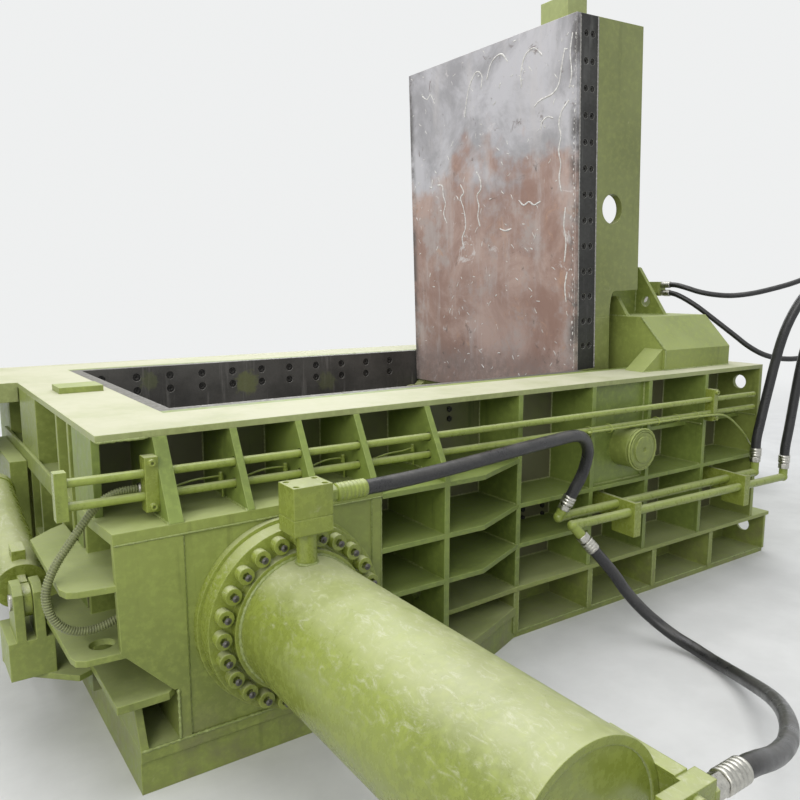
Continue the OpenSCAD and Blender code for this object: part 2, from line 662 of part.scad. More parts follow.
// Port block over the barrel, in two bolted halves on a short neck
port = [side_x - 10, -311];
port_x = about(port[0], 136);
port_z = 932;
module side_port_block() color("yellowgreen") place() {
    port_y = about(port[1], 108);
    seat_z = axis_z + barrel_d / 2;
    seam = [878, 882];
    top = 982;
    difference() {
        union() {
            block(port_x, port_y, [828, seam[0]]);
            block([port_x[0] + 1.5, port_x[1] - 1.5], [port_y[0] + 1.5, port_y[1] - 1.5], [seam[0] - 0.5, seam[1] + 0.5]);
            block(port_x, port_y, [seam[1], top]);
            round_z(port[0], port[1], [seat_z - 20, 829], 66);
        }
        round_y(side_x, [-600, -240], axis_z, barrel_d + 2 * loose_gap);
        for (x = [-50, 50]) for (y = [-36, 36]) round_z(port[0] + x, port[1] + y, [top - 14, top + 1], 20);
    }
}
// Bar along the rear of the barrel with the end block of the second port
module side_port_bar() color("yellowgreen") place() {
    bar_x = [740, 800];
    difference() {
        union() {
            block(bar_x, [side_end_y - 48, side_end_y + 154], [500, 600]);
            block([bar_x[0] - 60, bar_x[1] + 26], [side_end_y - 100, side_end_y - 47.5], [505, 595]);
            translate([bar_x[1] + 25.5, side_end_y - 75, 550]) rotate([0, 90, 0]) cylinder(h = 14, d = 60, $fn = 6);
        }
        round_y(side_x, [side_end_y - 60, side_end_y + 200], axis_z, barrel_d + 2 * loose_gap);
    }
    for (x = [704, 758]) translate([x, side_end_y - 100, 572]) rotate([90, 0, 0]) cylinder(h = 16, d = 30, $fn = 24);
    for (x = [704, 758]) translate([x, side_end_y - 100, 528]) rotate([90, 0, 0]) cylinder(h = 16, d = 30, $fn = 24);
}

// Side ram, hollow behind its wear face, with lugs for the rod
module side_ram() color("olivedrab") place() {
    x = [house_in[0] + slide_gap, house_in[1] - slide_gap];
    z = [floor_z + slide_gap, ram_top];
    difference() {
        block(x, [side_ram_back, press_y - side_face_t], z);
        for (i = [0, 1]) {
            block([x[0] + 40 + i * 325, x[0] + 325 + i * 325], [side_ram_back - 1, press_y - side_face_t - 40], [z[0] + 40, z[1] - 40]);
        }
    }
    block([side_x - 140, side_x + 140], [side_ram_back, side_ram_back + 60], [axis_z - 140, axis_z + 140]);
}
module side_ram_face() color("dimgray") place() {
    block([house_in[0] + slide_gap, house_in[1] - slide_gap], [press_y - side_face_t, press_y], [floor_z + slide_gap, ram_top]);
}
module side_rod() color("silver") place() {
    back = side_end_y + 60;
    round_y(side_x, [back, side_ram_back], axis_z, rod_d);
    round_y(side_x, [back, back + 60], axis_z, bore_d - 2 * loose_gap);
}

// Main ram, whose shoulders pass under the hinge arms
ram_y = [press_y + slide_gap, box_w - press_y - slide_gap];
crest_y = [ram_y[0] + shoulder_w, ram_y[1] - shoulder_w];
module main_ram() color("olivedrab") place() {
    difference() {
        block([ram_face_x + main_face_t, main_ram_end], ram_y, [floor_z + slide_gap, shoulder_z]);
        for (y = [press_y + 130, press_y + 470, box_w / 2 + 180, box_w / 2 + 300 + 110]) {
            block([ram_face_x + main_face_t + 40, main_ram_end + 1], [y, y + 200], [floor_z + 60, shoulder_z - 40]);
        }
    }
}
// Narrower beam on top of the ram, between the hinge arms
module main_ram_cap() color("olivedrab") place() {
    block([ram_face_x + main_face_t, main_ram_end], crest_y, [shoulder_z, main_ram_top]);
}
module main_ram_face() color("dimgray") place() {
    x = [ram_face_x, ram_face_x + main_face_t];
    block(x, ram_y, [floor_z + slide_gap, shoulder_z]);
    block(x, crest_y, [shoulder_z + plate_seam, main_ram_top]);
}
module main_rod() color("silver") place() {
    back = box_l + flange_l + main_barrel_l - 60;
    round_x([main_ram_end, back], box_w / 2, axis_z, rod_d);
    round_x([back - 60, back], box_w / 2, axis_z, bore_d - 2 * loose_gap);
}

// Lid, drawn upright from its hinge: away from the face along X, along the lid along Z
module on_hinge() place() translate([hinge[0], 0, hinge[1]]) rotate([0, -lid_lean, 0]) children();
lid_ys = [lid_y, box_w - lid_y];
module arm_outline(y) {
    difference() {
        union() {
            long_plate(y, [
                [-hub_d / 2, 0], [blade_b[0], lid_low + 30], [blade_b[0], arm_end], [arm_b, arm_end], [arm_b, 235], [hub_d / 2, 0],
            ]);
            translate([0, y[1], 0]) rotate([90, 0, 0]) cylinder(h = y[1] - y[0], d = hub_d, $fn = 64);
        }
        translate([0, y[1] + 1, 0]) rotate([90, 0, 0]) cylinder(h = y[1] - y[0] + 2, d = pin_d + 2 * pin_gap, $fn = 64);
    }
}
// Side of the lid with the rounded step from the arm to the full depth
module lid_side(y) {
    difference() {
        long_plate(y, concat(
            [[blade_b[0], arm_end]],
            [for (t = [0 : 15 : 90]) [arm_b + 34 * (1 - cos(t)), arm_end + 135 * sin(t)]],
            [[lid_back, 735], [lid_back, lid_l], [blade_b[0], lid_l]]
        ));
        translate([lid_hole[0], y[1] + 1, lid_hole[1]]) rotate([90, 0, 0]) cylinder(h = y[1] - y[0] + 2, d = lid_hole_d, $fn = 48);
    }
}
module lid_frame() color("olivedrab") on_hinge() {
    rib_y = [lid_y + 330, box_w / 2 - lug_gap - lid_plate_t, box_w / 2 + lug_gap, box_w - lid_y - 330 - lid_plate_t];
    difference() {
        union() {
            lid_side([lid_y, lid_y + lid_side_t]);
            translate([0, box_w, 0]) mirror([0, 1, 0]) lid_side([lid_y, lid_y + lid_side_t]);
            for (y = rib_y) {
                long_plate([y, y + lid_plate_t], [
                    [blade_b[0], lid_low + lid_plate_t], [arm_b, lid_low + lid_plate_t], [arm_b + 90, 330], [arm_b + 90, 430],
                    [arm_b, 540], [arm_b, arm_end], [lid_back, 735], [lid_back, lid_l - 1], [blade_b[0], lid_l - 1],
                ]);
            }
            for (a = concat([lid_low], lid_webs)) {
                low = a < arm_end;
                inner = lid_y + (low ? arm_t : 5);
                block([blade_b[0], low ? arm_b : lid_back], [inner, box_w - inner], [a, a + lid_plate_t]);
            }
            for (a = [735, 1290, 1700, lid_l - 120]) {
                block([lid_back - lid_plate_t, lid_back], [lid_y + 5, box_w - lid_y - 5], [a, a + 120]);
            }
            for (side = [0, 1]) translate([0, side * box_w, 0]) mirror([0, side, 0])
                block([blade_b[0], arm_b], [lid_y + arm_t, box_w / 2 - lug_gap], [500, 500 + lid_plate_t]);
        }
        for (side = [0, 1]) translate([0, side * box_w, 0]) mirror([0, side, 0])
            block([blade_b[0] - 1, blade_b[1]], [lid_y - 1, lid_y + blade_t], [blade_low, lid_l + 1]);
        block([blade_b[0] + 60, arm_b + 1], [box_w / 2 - lug_gap, box_w / 2 + lug_gap], [lid_low - 1, lid_low + lid_plate_t + 1]);
        translate([lug_b, rib_y[2] + lid_plate_t + 1, lug_a]) rotate([90, 0, 0])
            cylinder(h = rib_y[2] - rib_y[1] + lid_plate_t + 2, d = lug_pin_d + 2 * loose_gap, $fn = 48);
    }
    for (y = [rib_y[1] - 8, rib_y[2] + lid_plate_t]) {
        translate([lug_b, y + 8, lug_a]) rotate([90, 0, 0]) cylinder(h = 8, d = lug_pin_d + 30, $fn = 32);
    }
}
// Thick plates at the lid's two sides that carry it on the hinge pins
module lid_arms() color("olivedrab") on_hinge() {
    for (side = [0, 1]) translate([0, side * box_w, 0]) mirror([0, side, 0]) {
        difference() {
            arm_outline([lid_y, lid_y + arm_t]);
            block([blade_b[0] - 1, blade_b[1]], [lid_y - 1, lid_y + blade_t], [blade_low, lid_l + 1]);
        }
    }
}
module lid_wear_plate() color("sienna") on_hinge() {
    block([lid_face, lid_face + wear_t - seat_gap], lid_ys, [lid_low + 30, lid_l]);
}
function row_a(i) = lid_l - 90 - i * row_pitch;
pair_b = [119, 166];
module lid_blades() color("dimgray") on_hinge() {
    difference() {
        for (side = [0, 1]) translate([0, side * box_w, 0]) mirror([0, side, 0])
            block(blade_b, [lid_y, lid_y + blade_t], [blade_low, lid_l]);
        for (i = [0 : blade_rows - 1]) for (b = pair_b) {
            for (y = [lid_y + 18, box_w - lid_y + 1]) {
                translate([b, y, row_a(i)]) rotate([90, 0, 0]) cylinder(h = 19, d = 34, $fn = 24);
            }
        }
    }
}
module lid_blade_bolts() color("black") on_hinge() {
    for (i = [0 : blade_rows - 1]) for (b = pair_b) {
        translate([b, lid_y + 18, row_a(i)]) rotate([90, 0, 0]) socket_bolt(34 - 2 * loose_gap, 14, 30, 0);
        translate([b, box_w - lid_y - 18, row_a(i)]) rotate([-90, 0, 0]) socket_bolt(34 - 2 * loose_gap, 14, 30, 0);
    }
}
module lid_top_block() color("yellowgreen") on_hinge() {
    block([370, 520], [764, 971], [lid_l, lid_l + 237]);
}

// Lid cylinder, drawn from the tower pin towards the lid along X
module on_tower() place() translate([tower_pin[0], box_w / 2, tower_pin[1]]) rotate([0, -lid_cyl_tilt, 0]) children();
// Cylinder along X between two distances from the pin
module reach(x0, x1, d) translate([-x1, 0, 0]) rotate([0, 90, 0]) cylinder(h = x1 - x0, d = d, $fn = 64);
module lid_cyl_barrel() color("yellowgreen") on_tower() {
    difference() {
        union() {
            rotate([90, 0, 0]) translate([0, 0, -55]) cylinder(h = 110, d = 140, $fn = 48);
            translate([-lid_barrel_back - 10, -55, -60]) cube([90, 110, 120]);
            reach(lid_barrel_back, lid_barrel_l, lid_barrel_d);
            reach(lid_barrel_l - 60, lid_barrel_l, lid_barrel_d + 24);
        }
        rotate([90, 0, 0]) translate([0, 0, -60]) cylinder(h = 120, d = lug_pin_d + 2 * pin_gap, $fn = 48);
        reach(lid_barrel_back + 20, lid_barrel_l - 60, lid_barrel_d - 40);
        reach(lid_barrel_l - 80, lid_barrel_l + 1, lid_rod_d + 2 * loose_gap);
    }
}
module lid_cyl_rod() color("silver") on_tower() {
    reach(lid_piston_at - 50, lid_cyl_l - 60, lid_rod_d);
    reach(lid_piston_at - 50, lid_piston_at, lid_barrel_d - 40 - 2 * loose_gap);
    translate([-lid_cyl_l, 0, 0]) rotate([90, 0, 0]) {
        translate([0, 0, -50]) cylinder(h = 100, d = 150, $fn = 48);
        translate([0, 0, step - lug_gap]) cylinder(h = 2 * (lug_gap - step), d = lug_pin_d, $fn = 48);
    }
}
module lid_cyl_pin() color("silver") place() {
    round_y(tower_pin[0], [box_w / 2 - 110, box_w / 2 + 110], tower_pin[1], lug_pin_d);
}

// Gate at the left end, its rails, and the cylinder that draws it towards the near side
module gate() color("olivedrab") place() {
    block(gate_x, gate_y, gate_z);
    for (x = [gate_cyl_x - 45, gate_cyl_x + 15]) {
        difference() {
            cross_plate([x, x + 30], [
                [gate_lug[0] - 65, gate_z[1] - 40], [gate_lug[0] - 45, gate_lug[1] + 40], [gate_lug[0] + 50, gate_lug[1] + 50],
                [gate_lug[0] + 60, gate_z[1] - 40],
            ]);
            round_x([x - 1, x + 31], gate_lug[0], gate_lug[1], gate_pin_d + 2 * loose_gap);
        }
    }
    block([gate_cyl_x - 45, gate_x[0] + step], [gate_lug[0] - 65, gate_lug[0] + 60], [gate_z[1] - 70, gate_z[1] - 35]);
}
module gate_rails() color("olivedrab") place() {
    rail_y = [640, 1990];
    difference() {
        block([gate_x[0] - 22, 0], rail_y, [140, gate_z[0] + 30]);
        block([gate_x[0] - slide_gap, gate_x[1] + slide_gap], [0, box_w], [gate_z[0] - slide_gap, 400]);
    }
    block([gate_x[1] + slide_gap, 0], rail_y, [gate_z[1] - 30, gate_z[1] + 45]);
}
module gate_bracket() color("olivedrab") place() {
    level_plate([280, 300], [[-230, 344], [-56, 178], [-12, 200], [0, 240], [0, 600], [-140, 600], [-250, 480]]);
    block([-250, -110], [256, 480], [299.5, 430]);
    for (x = [gate_cyl_x - 45, gate_cyl_x + 15]) {
        difference() {
            cross_plate([x, x + 30], [[256, 429.5], [270, gate_pin[1] + 40], [300, gate_pin[1] + 66], [360, gate_pin[1] + 66],
                [395, gate_pin[1] + 30], [410, 429.5]]);
            round_x([x - 1, x + 31], gate_pin[0], gate_pin[1], gate_pin_d + 2 * loose_gap);
        }
    }
}
module on_gate_pin() place() translate([gate_cyl_x, gate_pin[0], gate_pin[1]]) rotate([gate_cyl_tilt, 0, 0]) children();
// Cylinder along Y between two distances from the pin
module along_gate(y0, y1, d) translate([0, y0, 0]) rotate([-90, 0, 0]) cylinder(h = y1 - y0, d = d, $fn = 64);
module gate_cyl_barrel() color("yellowgreen") on_gate_pin() {
    difference() {
        union() {
            rotate([0, 90, 0]) translate([0, 0, -13]) cylinder(h = 26, d = 110, $fn = 48);
            translate([-13, 40, -45]) cube([26, 50, 90]);
            along_gate(85, gate_barrel_l, gate_barrel_d);
            along_gate(gate_barrel_l - 40, gate_barrel_l, gate_barrel_d + 10);
            translate([-22, 120, 60]) cube([44, 60, 60]);
        }
        rotate([0, 90, 0]) translate([0, 0, -20]) cylinder(h = 40, d = gate_pin_d + 2 * pin_gap, $fn = 48);
        along_gate(105, gate_barrel_l - 40, gate_barrel_d - 30);
        along_gate(gate_barrel_l - 60, gate_barrel_l + 1, gate_rod_d + 2 * loose_gap);
    }
}
module gate_cyl_rod() color("silver") on_gate_pin() {
    along_gate(gate_barrel_l - 85, gate_cyl_l - 100, gate_rod_d);
    along_gate(gate_barrel_l - 85, gate_barrel_l - 45, gate_barrel_d - 30 - 2 * loose_gap);
    translate([0, gate_cyl_l, 0]) rotate([0, 90, 0]) {
        translate([0, 0, -13]) cylinder(h = 26, d = 100, $fn = 48);
        translate([0, 0, step - 15]) cylinder(h = 2 * (15 - step), d = gate_pin_d, $fn = 48);
    }
    translate([-13, gate_cyl_l - 101, -35]) cube([26, 61, 70]);
}
module gate_cyl_pin() color("silver") place() {
    round_x([gate_cyl_x - 52, gate_cyl_x + 52], gate_pin[0], gate_pin[1], gate_pin_d);
}

// Steel tubes along the near wall
module upper_tubes() color("yellowgreen") place() {
    for (z = upper_z) sloped_tube([upper_x[0], z[0]], [upper_x[1], z[1]], tube_y, upper_tube_d);
    block([-130, -95], [tube_y - 20, tube_y + 20], [903, 1051]);
}
// Elbow ball with a short stub
module elbow(p, dir, l) translate(p) {
    sphere(d = lower_tube_d + 8, $fn = 24);
    rotate([0, acos(dir[2] / norm(dir)), atan2(dir[1], dir[0])]) cylinder(h = l, d = lower_tube_d + 4, $fn = 24);
}
module lower_tubes() color("yellowgreen") place() {
    sloped_tube(lower_front[0], lower_front[1], lower_y[0], lower_tube_d);
    sloped_tube(lower_rear[0], lower_rear[1], lower_y[1], lower_tube_d);
    elbow(inlet_bend, [1, 0, 0], 60);
    elbow(inlet_bend, inlet_dir, 40);
    elbow(return_bend, [1, 0, 0], 60);
    elbow(return_bend, return_dir, 60);
    elbow([lower_rear[1][0], lower_y[1], lower_rear[1][1]], [0, 0, 1], 60);
    elbow([lower_front[1][0], lower_y[0], lower_front[1][1]], [0, 0, 1], 50);
}
// Brackets and clamps that hold the tubes
module tube_clamps() color("yellowgreen") place() {
    difference() {
        union() {
            for (x = bracket_x) {
                cross_plate(about(x, 20), [
                    [rib_d, 500], [rib_d, 590], [-165, 575], [-165, 409], [-32, 412], [-32, 470],
                ]);
                block([x - 10, x + 38], [-165, -156], [409, 575]);
            }
            block([130, 172], [tube_y - 22, 0], [890, 1065]);
            block([3095, 3130], [tube_y - 22, 0], [873, 1041]);
        }
        sloped_tube(lower_front[0], lower_front[1], lower_y[0], lower_tube_d + 2 * loose_gap);
        sloped_tube(lower_rear[0], lower_rear[1], lower_y[1], lower_tube_d + 2 * loose_gap);
        for (z = upper_z) sloped_tube([upper_x[0], z[0]], [upper_x[1], z[1]], tube_y, upper_tube_d + 2 * loose_gap);
    }
    for (p = [[151, 1048], [151, 908], [3112, 1026], [3112, 888]]) {
        translate([p[0], tube_y - 22, p[1]]) rotate([90, 0, 0]) socket_bolt(22, 14, 12, 0);
    }
}
module lube_line() color("yellowgreen") place() hose(lube_route, 12, 8, [0, 0, 1]);

// Ferrules and fittings at the ends of the hoses
module ferrule(p, dir, l, d) {
    translate(p) rotate([0, acos(dir[2] / norm(dir)), atan2(dir[1], dir[0])]) {
        difference() {
            cylinder(h = l, d = d + 10, $fn = 32);
            translate([0, 0, l - ferrule_mouth]) cylinder(h = ferrule_mouth + 1, d = d + 4, $fn = 32);
        }
    }
}
// Ferrule on the far end of a hose, with a plain coupling nose
module end_ferrule(r, d) {
    last = len(r) - 1;
    u = unit(r[last] - r[last - 1]);
    ferrule(r[last] + 60 * u, -u, 60 + ferrule_mouth, d);
    translate(r[last] + 60 * u) rotate([0, acos(u[2]), atan2(u[1], u[0])]) cylinder(h = 40, d = d * 0.8, $fn = 6);
}
lid_hose_d = 34;
ferrule_mouth = 25;
guard_d = 30;
module hose_ends() color("silver") place() {
    ferrule([port_x[1], port[1], port_z], [1, 0, 0], 150, hose_d);
    ferrule([840, side_end_y - 75, 550], [1, 0, 0], 120, hose_d);
    ferrule(inlet_bend + 40 * unit(inlet_dir), inlet_dir, 70, hose_d);
    ferrule(return_bend + 60 * unit(return_dir), return_dir, 90, hose_d);
    ferrule([lower_rear[1][0], lower_y[1], lower_rear[1][1] + 60], [0, 0, 1], 80, hose_d);
    ferrule([lower_front[1][0], lower_y[0], lower_front[1][1] + 50], [0, 0, 1], 78, hose_d);
    for (z = [1585, 1530]) ferrule([3910, 920, z], [0, -1, 0], 70, lid_hose_d);
    ferrule([172, 30, 950], [-1, 0, 0], 45, guard_d);
    ferrule([house_x[0], -56, 585], [-1, 0, 0], 80, guard_d);
    for (r = riser_routes) end_ferrule(r, hose_d);
    for (r = lid_routes) end_ferrule(r, lid_hose_d);
}
// Round hose swept along its route, with rings square to it
function unit(v) = v / norm(v);
function along(r, i) = unit(r[min(i + 1, len(r) - 1)] - r[max(i - 1, 0)]);
function ring(p, t, d, n, up) =
    let (s = unit(cross(t, up)), u = cross(s, t))
    [for (k = [0 : n - 1]) p + d / 2 * (cos(k * 360 / n) * s + sin(k * 360 / n) * u)];
module hose(r, d, n, up) {
    last = len(r) - 1;
    polyhedron(
        points = [for (i = [0 : last]) each ring(r[i], along(r, i), d, n, up)],
        faces = concat(
            [[for (k = [0 : n - 1]) n - 1 - k]],
            [for (i = [0 : last - 1]) for (k = [0 : n - 1])
                [i * n + k, i * n + (k + 1) % n, (i + 1) * n + (k + 1) % n, (i + 1) * n + k]],
            [[for (k = [0 : n - 1]) last * n + k]]
        )
    );
}
module inlet_hose() color("black") place() hose(inlet_route, hose_d, 10, [0, 1, 0]);
module return_hose() color("black") place() hose(return_route, hose_d, 10, [0, 0, 1]);
module riser_hoses() color("black") place() for (r = riser_routes) hose(r, hose_d, 10, [0, 1, 0]);
module lid_hoses() color("black") place() for (r = lid_routes) hose(r, lid_hose_d, 8, [0, 0, 1]);
module guarded_hose() color("black") place() hose(guard_route, guard_d, 8, [0, 1, 0]);

base_frame();
near_wall();
far_wall();
left_end();
right_end();
top_flange();
ram_house();
ram_roof();
near_liner();
far_liner();
left_liner();
floor_liner();
liner_bolts();
stop_pad();
near_brace();
far_brace();
lid_rest_bar();
rear_tower();
hinge_bosses();
hinge_pins();
hinge_keepers();
side_mount_ring();
side_cylinder();
side_bolts();
side_port_block();
side_port_bar();
side_ram();
side_ram_face();
side_rod();
main_cylinder();
main_bolts();
main_ram();
main_ram_cap();
main_ram_face();
main_rod();
lid_frame();
lid_arms();
lid_wear_plate();
lid_blades();
lid_blade_bolts();
lid_top_block();
lid_cyl_barrel();
lid_cyl_rod();
lid_cyl_pin();
gate();
gate_rails();
gate_bracket();
gate_cyl_barrel();
gate_cyl_rod();
gate_cyl_pin();
upper_tubes();
lower_tubes();
tube_clamps();
lube_line();
hose_ends();
inlet_hose();
return_hose();
riser_hoses();
lid_hoses();
guarded_hose();
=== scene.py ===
import bpy
import json
import math
import random
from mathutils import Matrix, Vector, noise


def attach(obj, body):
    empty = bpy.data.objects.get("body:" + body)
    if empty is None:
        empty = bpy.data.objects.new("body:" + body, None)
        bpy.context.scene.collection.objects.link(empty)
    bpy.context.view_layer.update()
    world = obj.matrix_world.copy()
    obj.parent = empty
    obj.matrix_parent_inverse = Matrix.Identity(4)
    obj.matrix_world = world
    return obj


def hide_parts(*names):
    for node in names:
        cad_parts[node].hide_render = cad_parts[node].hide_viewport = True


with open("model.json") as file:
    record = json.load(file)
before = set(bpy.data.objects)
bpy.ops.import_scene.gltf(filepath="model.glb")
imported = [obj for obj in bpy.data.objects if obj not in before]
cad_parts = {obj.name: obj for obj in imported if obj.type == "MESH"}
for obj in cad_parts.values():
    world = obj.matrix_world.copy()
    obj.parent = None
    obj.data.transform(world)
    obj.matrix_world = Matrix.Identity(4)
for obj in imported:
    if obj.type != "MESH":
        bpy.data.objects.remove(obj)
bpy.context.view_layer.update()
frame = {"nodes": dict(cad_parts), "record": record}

# Places
ORIGIN_X = 1912.0       # where the shared frame's origin lies in the drawing, in millimetres
ORIGIN_Y = 1120.0
HINGE_X = 2475.0        # axis of the lid's hinge
HINGE_Z = 805.0
LEAN = math.radians(2.1)        # how far the open lid leans back
ALONG = Vector((1, 0, 0))
ACROSS = Vector((0, 1, 0))
UP = Vector((0, 0, 1))

def at(x, y, z):
    """Point in the drawing's millimetres, brought to the shared frame in metres."""
    return Vector(((x - ORIGIN_X) / 1000.0, (y - ORIGIN_Y) / 1000.0, z / 1000.0))

def far(p):
    """The same point mirrored to the far side."""
    return Vector((p.x, -p.y, p.z))

def on_lid(b, y, a):
    """Point on the open lid: b behind the plane through its hinge, a along the lid from the hinge."""
    x = HINGE_X + b * math.cos(LEAN) - a * math.sin(LEAN)
    z = HINGE_Z + b * math.sin(LEAN) + a * math.cos(LEAN)
    return at(x, y, z)

def unit(x, y, z):
    """Direction of length one."""
    return Vector((x, y, z)).normalized()

# Camera
cam_data = bpy.data.cameras.new("camera")
cam_data.sensor_width = 36.0
cam_data.lens = 34.18
cam_data.clip_start = 0.05
cam_data.clip_end = 100.0
cam = bpy.data.objects.new("camera", cam_data)
cam.location = (-2.423, -3.503, 1.600)
cam.rotation_euler = (math.radians(81.206), 0.0, math.radians(-34.412))
bpy.context.scene.collection.objects.link(cam)
bpy.context.scene.camera = cam

# Mesh helpers
class Mesh:
    """Collects points and faces, and makes one object of them."""
    def __init__(self):
        self.points = []
        self.faces = []
        self.smooth = []

    def add(self, points, faces, smooth=True):
        n = len(self.points)
        self.points += [tuple(p) for p in points]
        self.faces += [tuple(i + n for i in f) for f in faces]
        self.smooth += [smooth] * len(faces)

    def make(self, name, material, body, slot, replaces=()):
        """Object with one material, tied to its body, in place of the CAD nodes that it replaces. The slot is
        not used.
        """
        me = bpy.data.meshes.new(name)
        me.from_pydata(self.points, [], self.faces)
        me.polygons.foreach_set("use_smooth", self.smooth)
        me.update()
        ob = bpy.data.objects.new(name, me)
        bpy.context.scene.collection.objects.link(ob)
        me.materials.append(material)
        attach(ob, body)
        if replaces:
            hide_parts(*replaces)
        return ob

def square_to(d):
    """Two directions square to d and to each other."""
    d = d.normalized()
    a = Vector((0, 0, 1)) if abs(d.z) < 0.9 else Vector((1, 0, 0))
    s = d.cross(a).normalized()
    return s, s.cross(d).normalized()

def lathe(m, p, d, profile, n=32, smooth=True, hexes=()):
    """Turned form from p along d: profile is (distance, radius), and its rows in hexes are hexagons."""
    s, u = square_to(d)
    d = d.normalized()
    pts, faces = [], []
    for k, (h, r) in enumerate(profile):
        for i in range(n):
            t = 2 * math.pi * i / n
            rr = r
            if k in hexes:
                c = (t + math.pi / 6) % (math.pi / 3) - math.pi / 6
                rr = r * math.cos(math.pi / 6) / math.cos(c)
            pts.append(p + d * h + (s * math.cos(t) + u * math.sin(t)) * rr)
    for k in range(len(profile) - 1):
        for i in range(n):
            j = (i + 1) % n
            faces.append((k * n + i, (k + 1) * n + i, (k + 1) * n + j, k * n + j))
    faces.append(tuple(range(n)))
    faces.append(tuple(reversed([(len(profile) - 1) * n + i for i in range(n)])))
    m.add(pts, faces, smooth)

def sweep(m, line, radius, n, closed=False, flat=1.0, up=None):
    """Tube with n sides along a line of points, with the radius as a number or one per point."""
    last = len(line) - 1
    prev = None
    pts, faces = [], []
    for i, p in enumerate(line):
        if closed:
            t = (line[(i + 1) % len(line)] - line[i - 1]).normalized()
        else:
            t = (line[min(i + 1, last)] - line[max(i - 1, 0)]).normalized()
        if prev is None:
            s, u = square_to(t)
            if up is not None:
                s = t.cross(up).normalized()
                u = s.cross(t)
        else:
            s = (prev - t * prev.dot(t)).normalized()
            u = s.cross(t)
        prev = s
        r = radius[i] if isinstance(radius, (list, tuple)) else radius
        for k in range(n):
            a = 2 * math.pi * k / n
            pts.append(p + s * math.cos(a) * r + u * math.sin(a) * r * flat)
    rows = len(line)
    for i in range(rows if closed else rows - 1):
        for k in range(n):
            j, w = (k + 1) % n, ((i + 1) % rows) * n
            faces.append((i * n + k, i * n + j, w + j, w + k))
    if not closed:
        faces.append(tuple(reversed(range(n))))
        faces.append(tuple((rows - 1) * n + k for k in range(n)))
    m.add(pts, faces)

def smooth_line(route, step):
    """Curve through the route's points, with a point about every step metres."""
    out = []
    n = len(route)
    for i in range(n - 1):
        p0 = route[i - 1] if i else route[0] * 2 - route[1]
        p1, p2 = route[i], route[i + 1]
        p3 = route[i + 2] if i + 2 < n else route[-1] * 2 - route[-2]
        k = max(2, int((p2 - p1).length / step))
        for j in range(k):
            t = j / k
            out.append(0.5 * ((2 * p1) + (p2 - p0) * t + (2 * p0 - 5 * p1 + 4 * p2 - p3) * t * t
                              + (3 * p1 - p0 - 3 * p2 + p3) * t * t * t))
    out.append(route[-1].copy())
    return out

def bead(m, a, b, r, seed):
    """Weld bead between two points, with ripples that the seed changes."""
    d = b - a
    n = max(3, int(d.length / 0.0075))
    s, u = square_to(d)
    line, radii = [], []
    for i in range(n + 1):
        p = a + d * (i / n)
        w = noise.noise(p * 90 + Vector((seed, 0, 0)))
        line.append(p + s * w * 0.0012)
        radii.append(r * (1.0 + 0.22 * math.sin(i * 2.1 + seed) + 0.35 * w))
    radii[0] *= 0.5
    radii[-1] *= 0.5
    sweep(m, line, radii, 6)

def ring_bead(m, c, axis, radius, r, seed):
    """Weld bead in a ring round an axis through c."""
    s, u = square_to(axis)
    n = int(2 * math.pi * radius / 0.009)
    line, radii = [], []
    for i in range(n):
        t = 2 * math.pi * i / n
        p = c + (s * math.cos(t) + u * math.sin(t)) * radius
        w = noise.noise(p * 90 + Vector((seed, 0, 0)))
        line.append(p)
        radii.append(r * (1 + 0.2 * math.sin(i * 2.1) + 0.3 * w))
    sweep(m, line, radii, 6, closed=True)

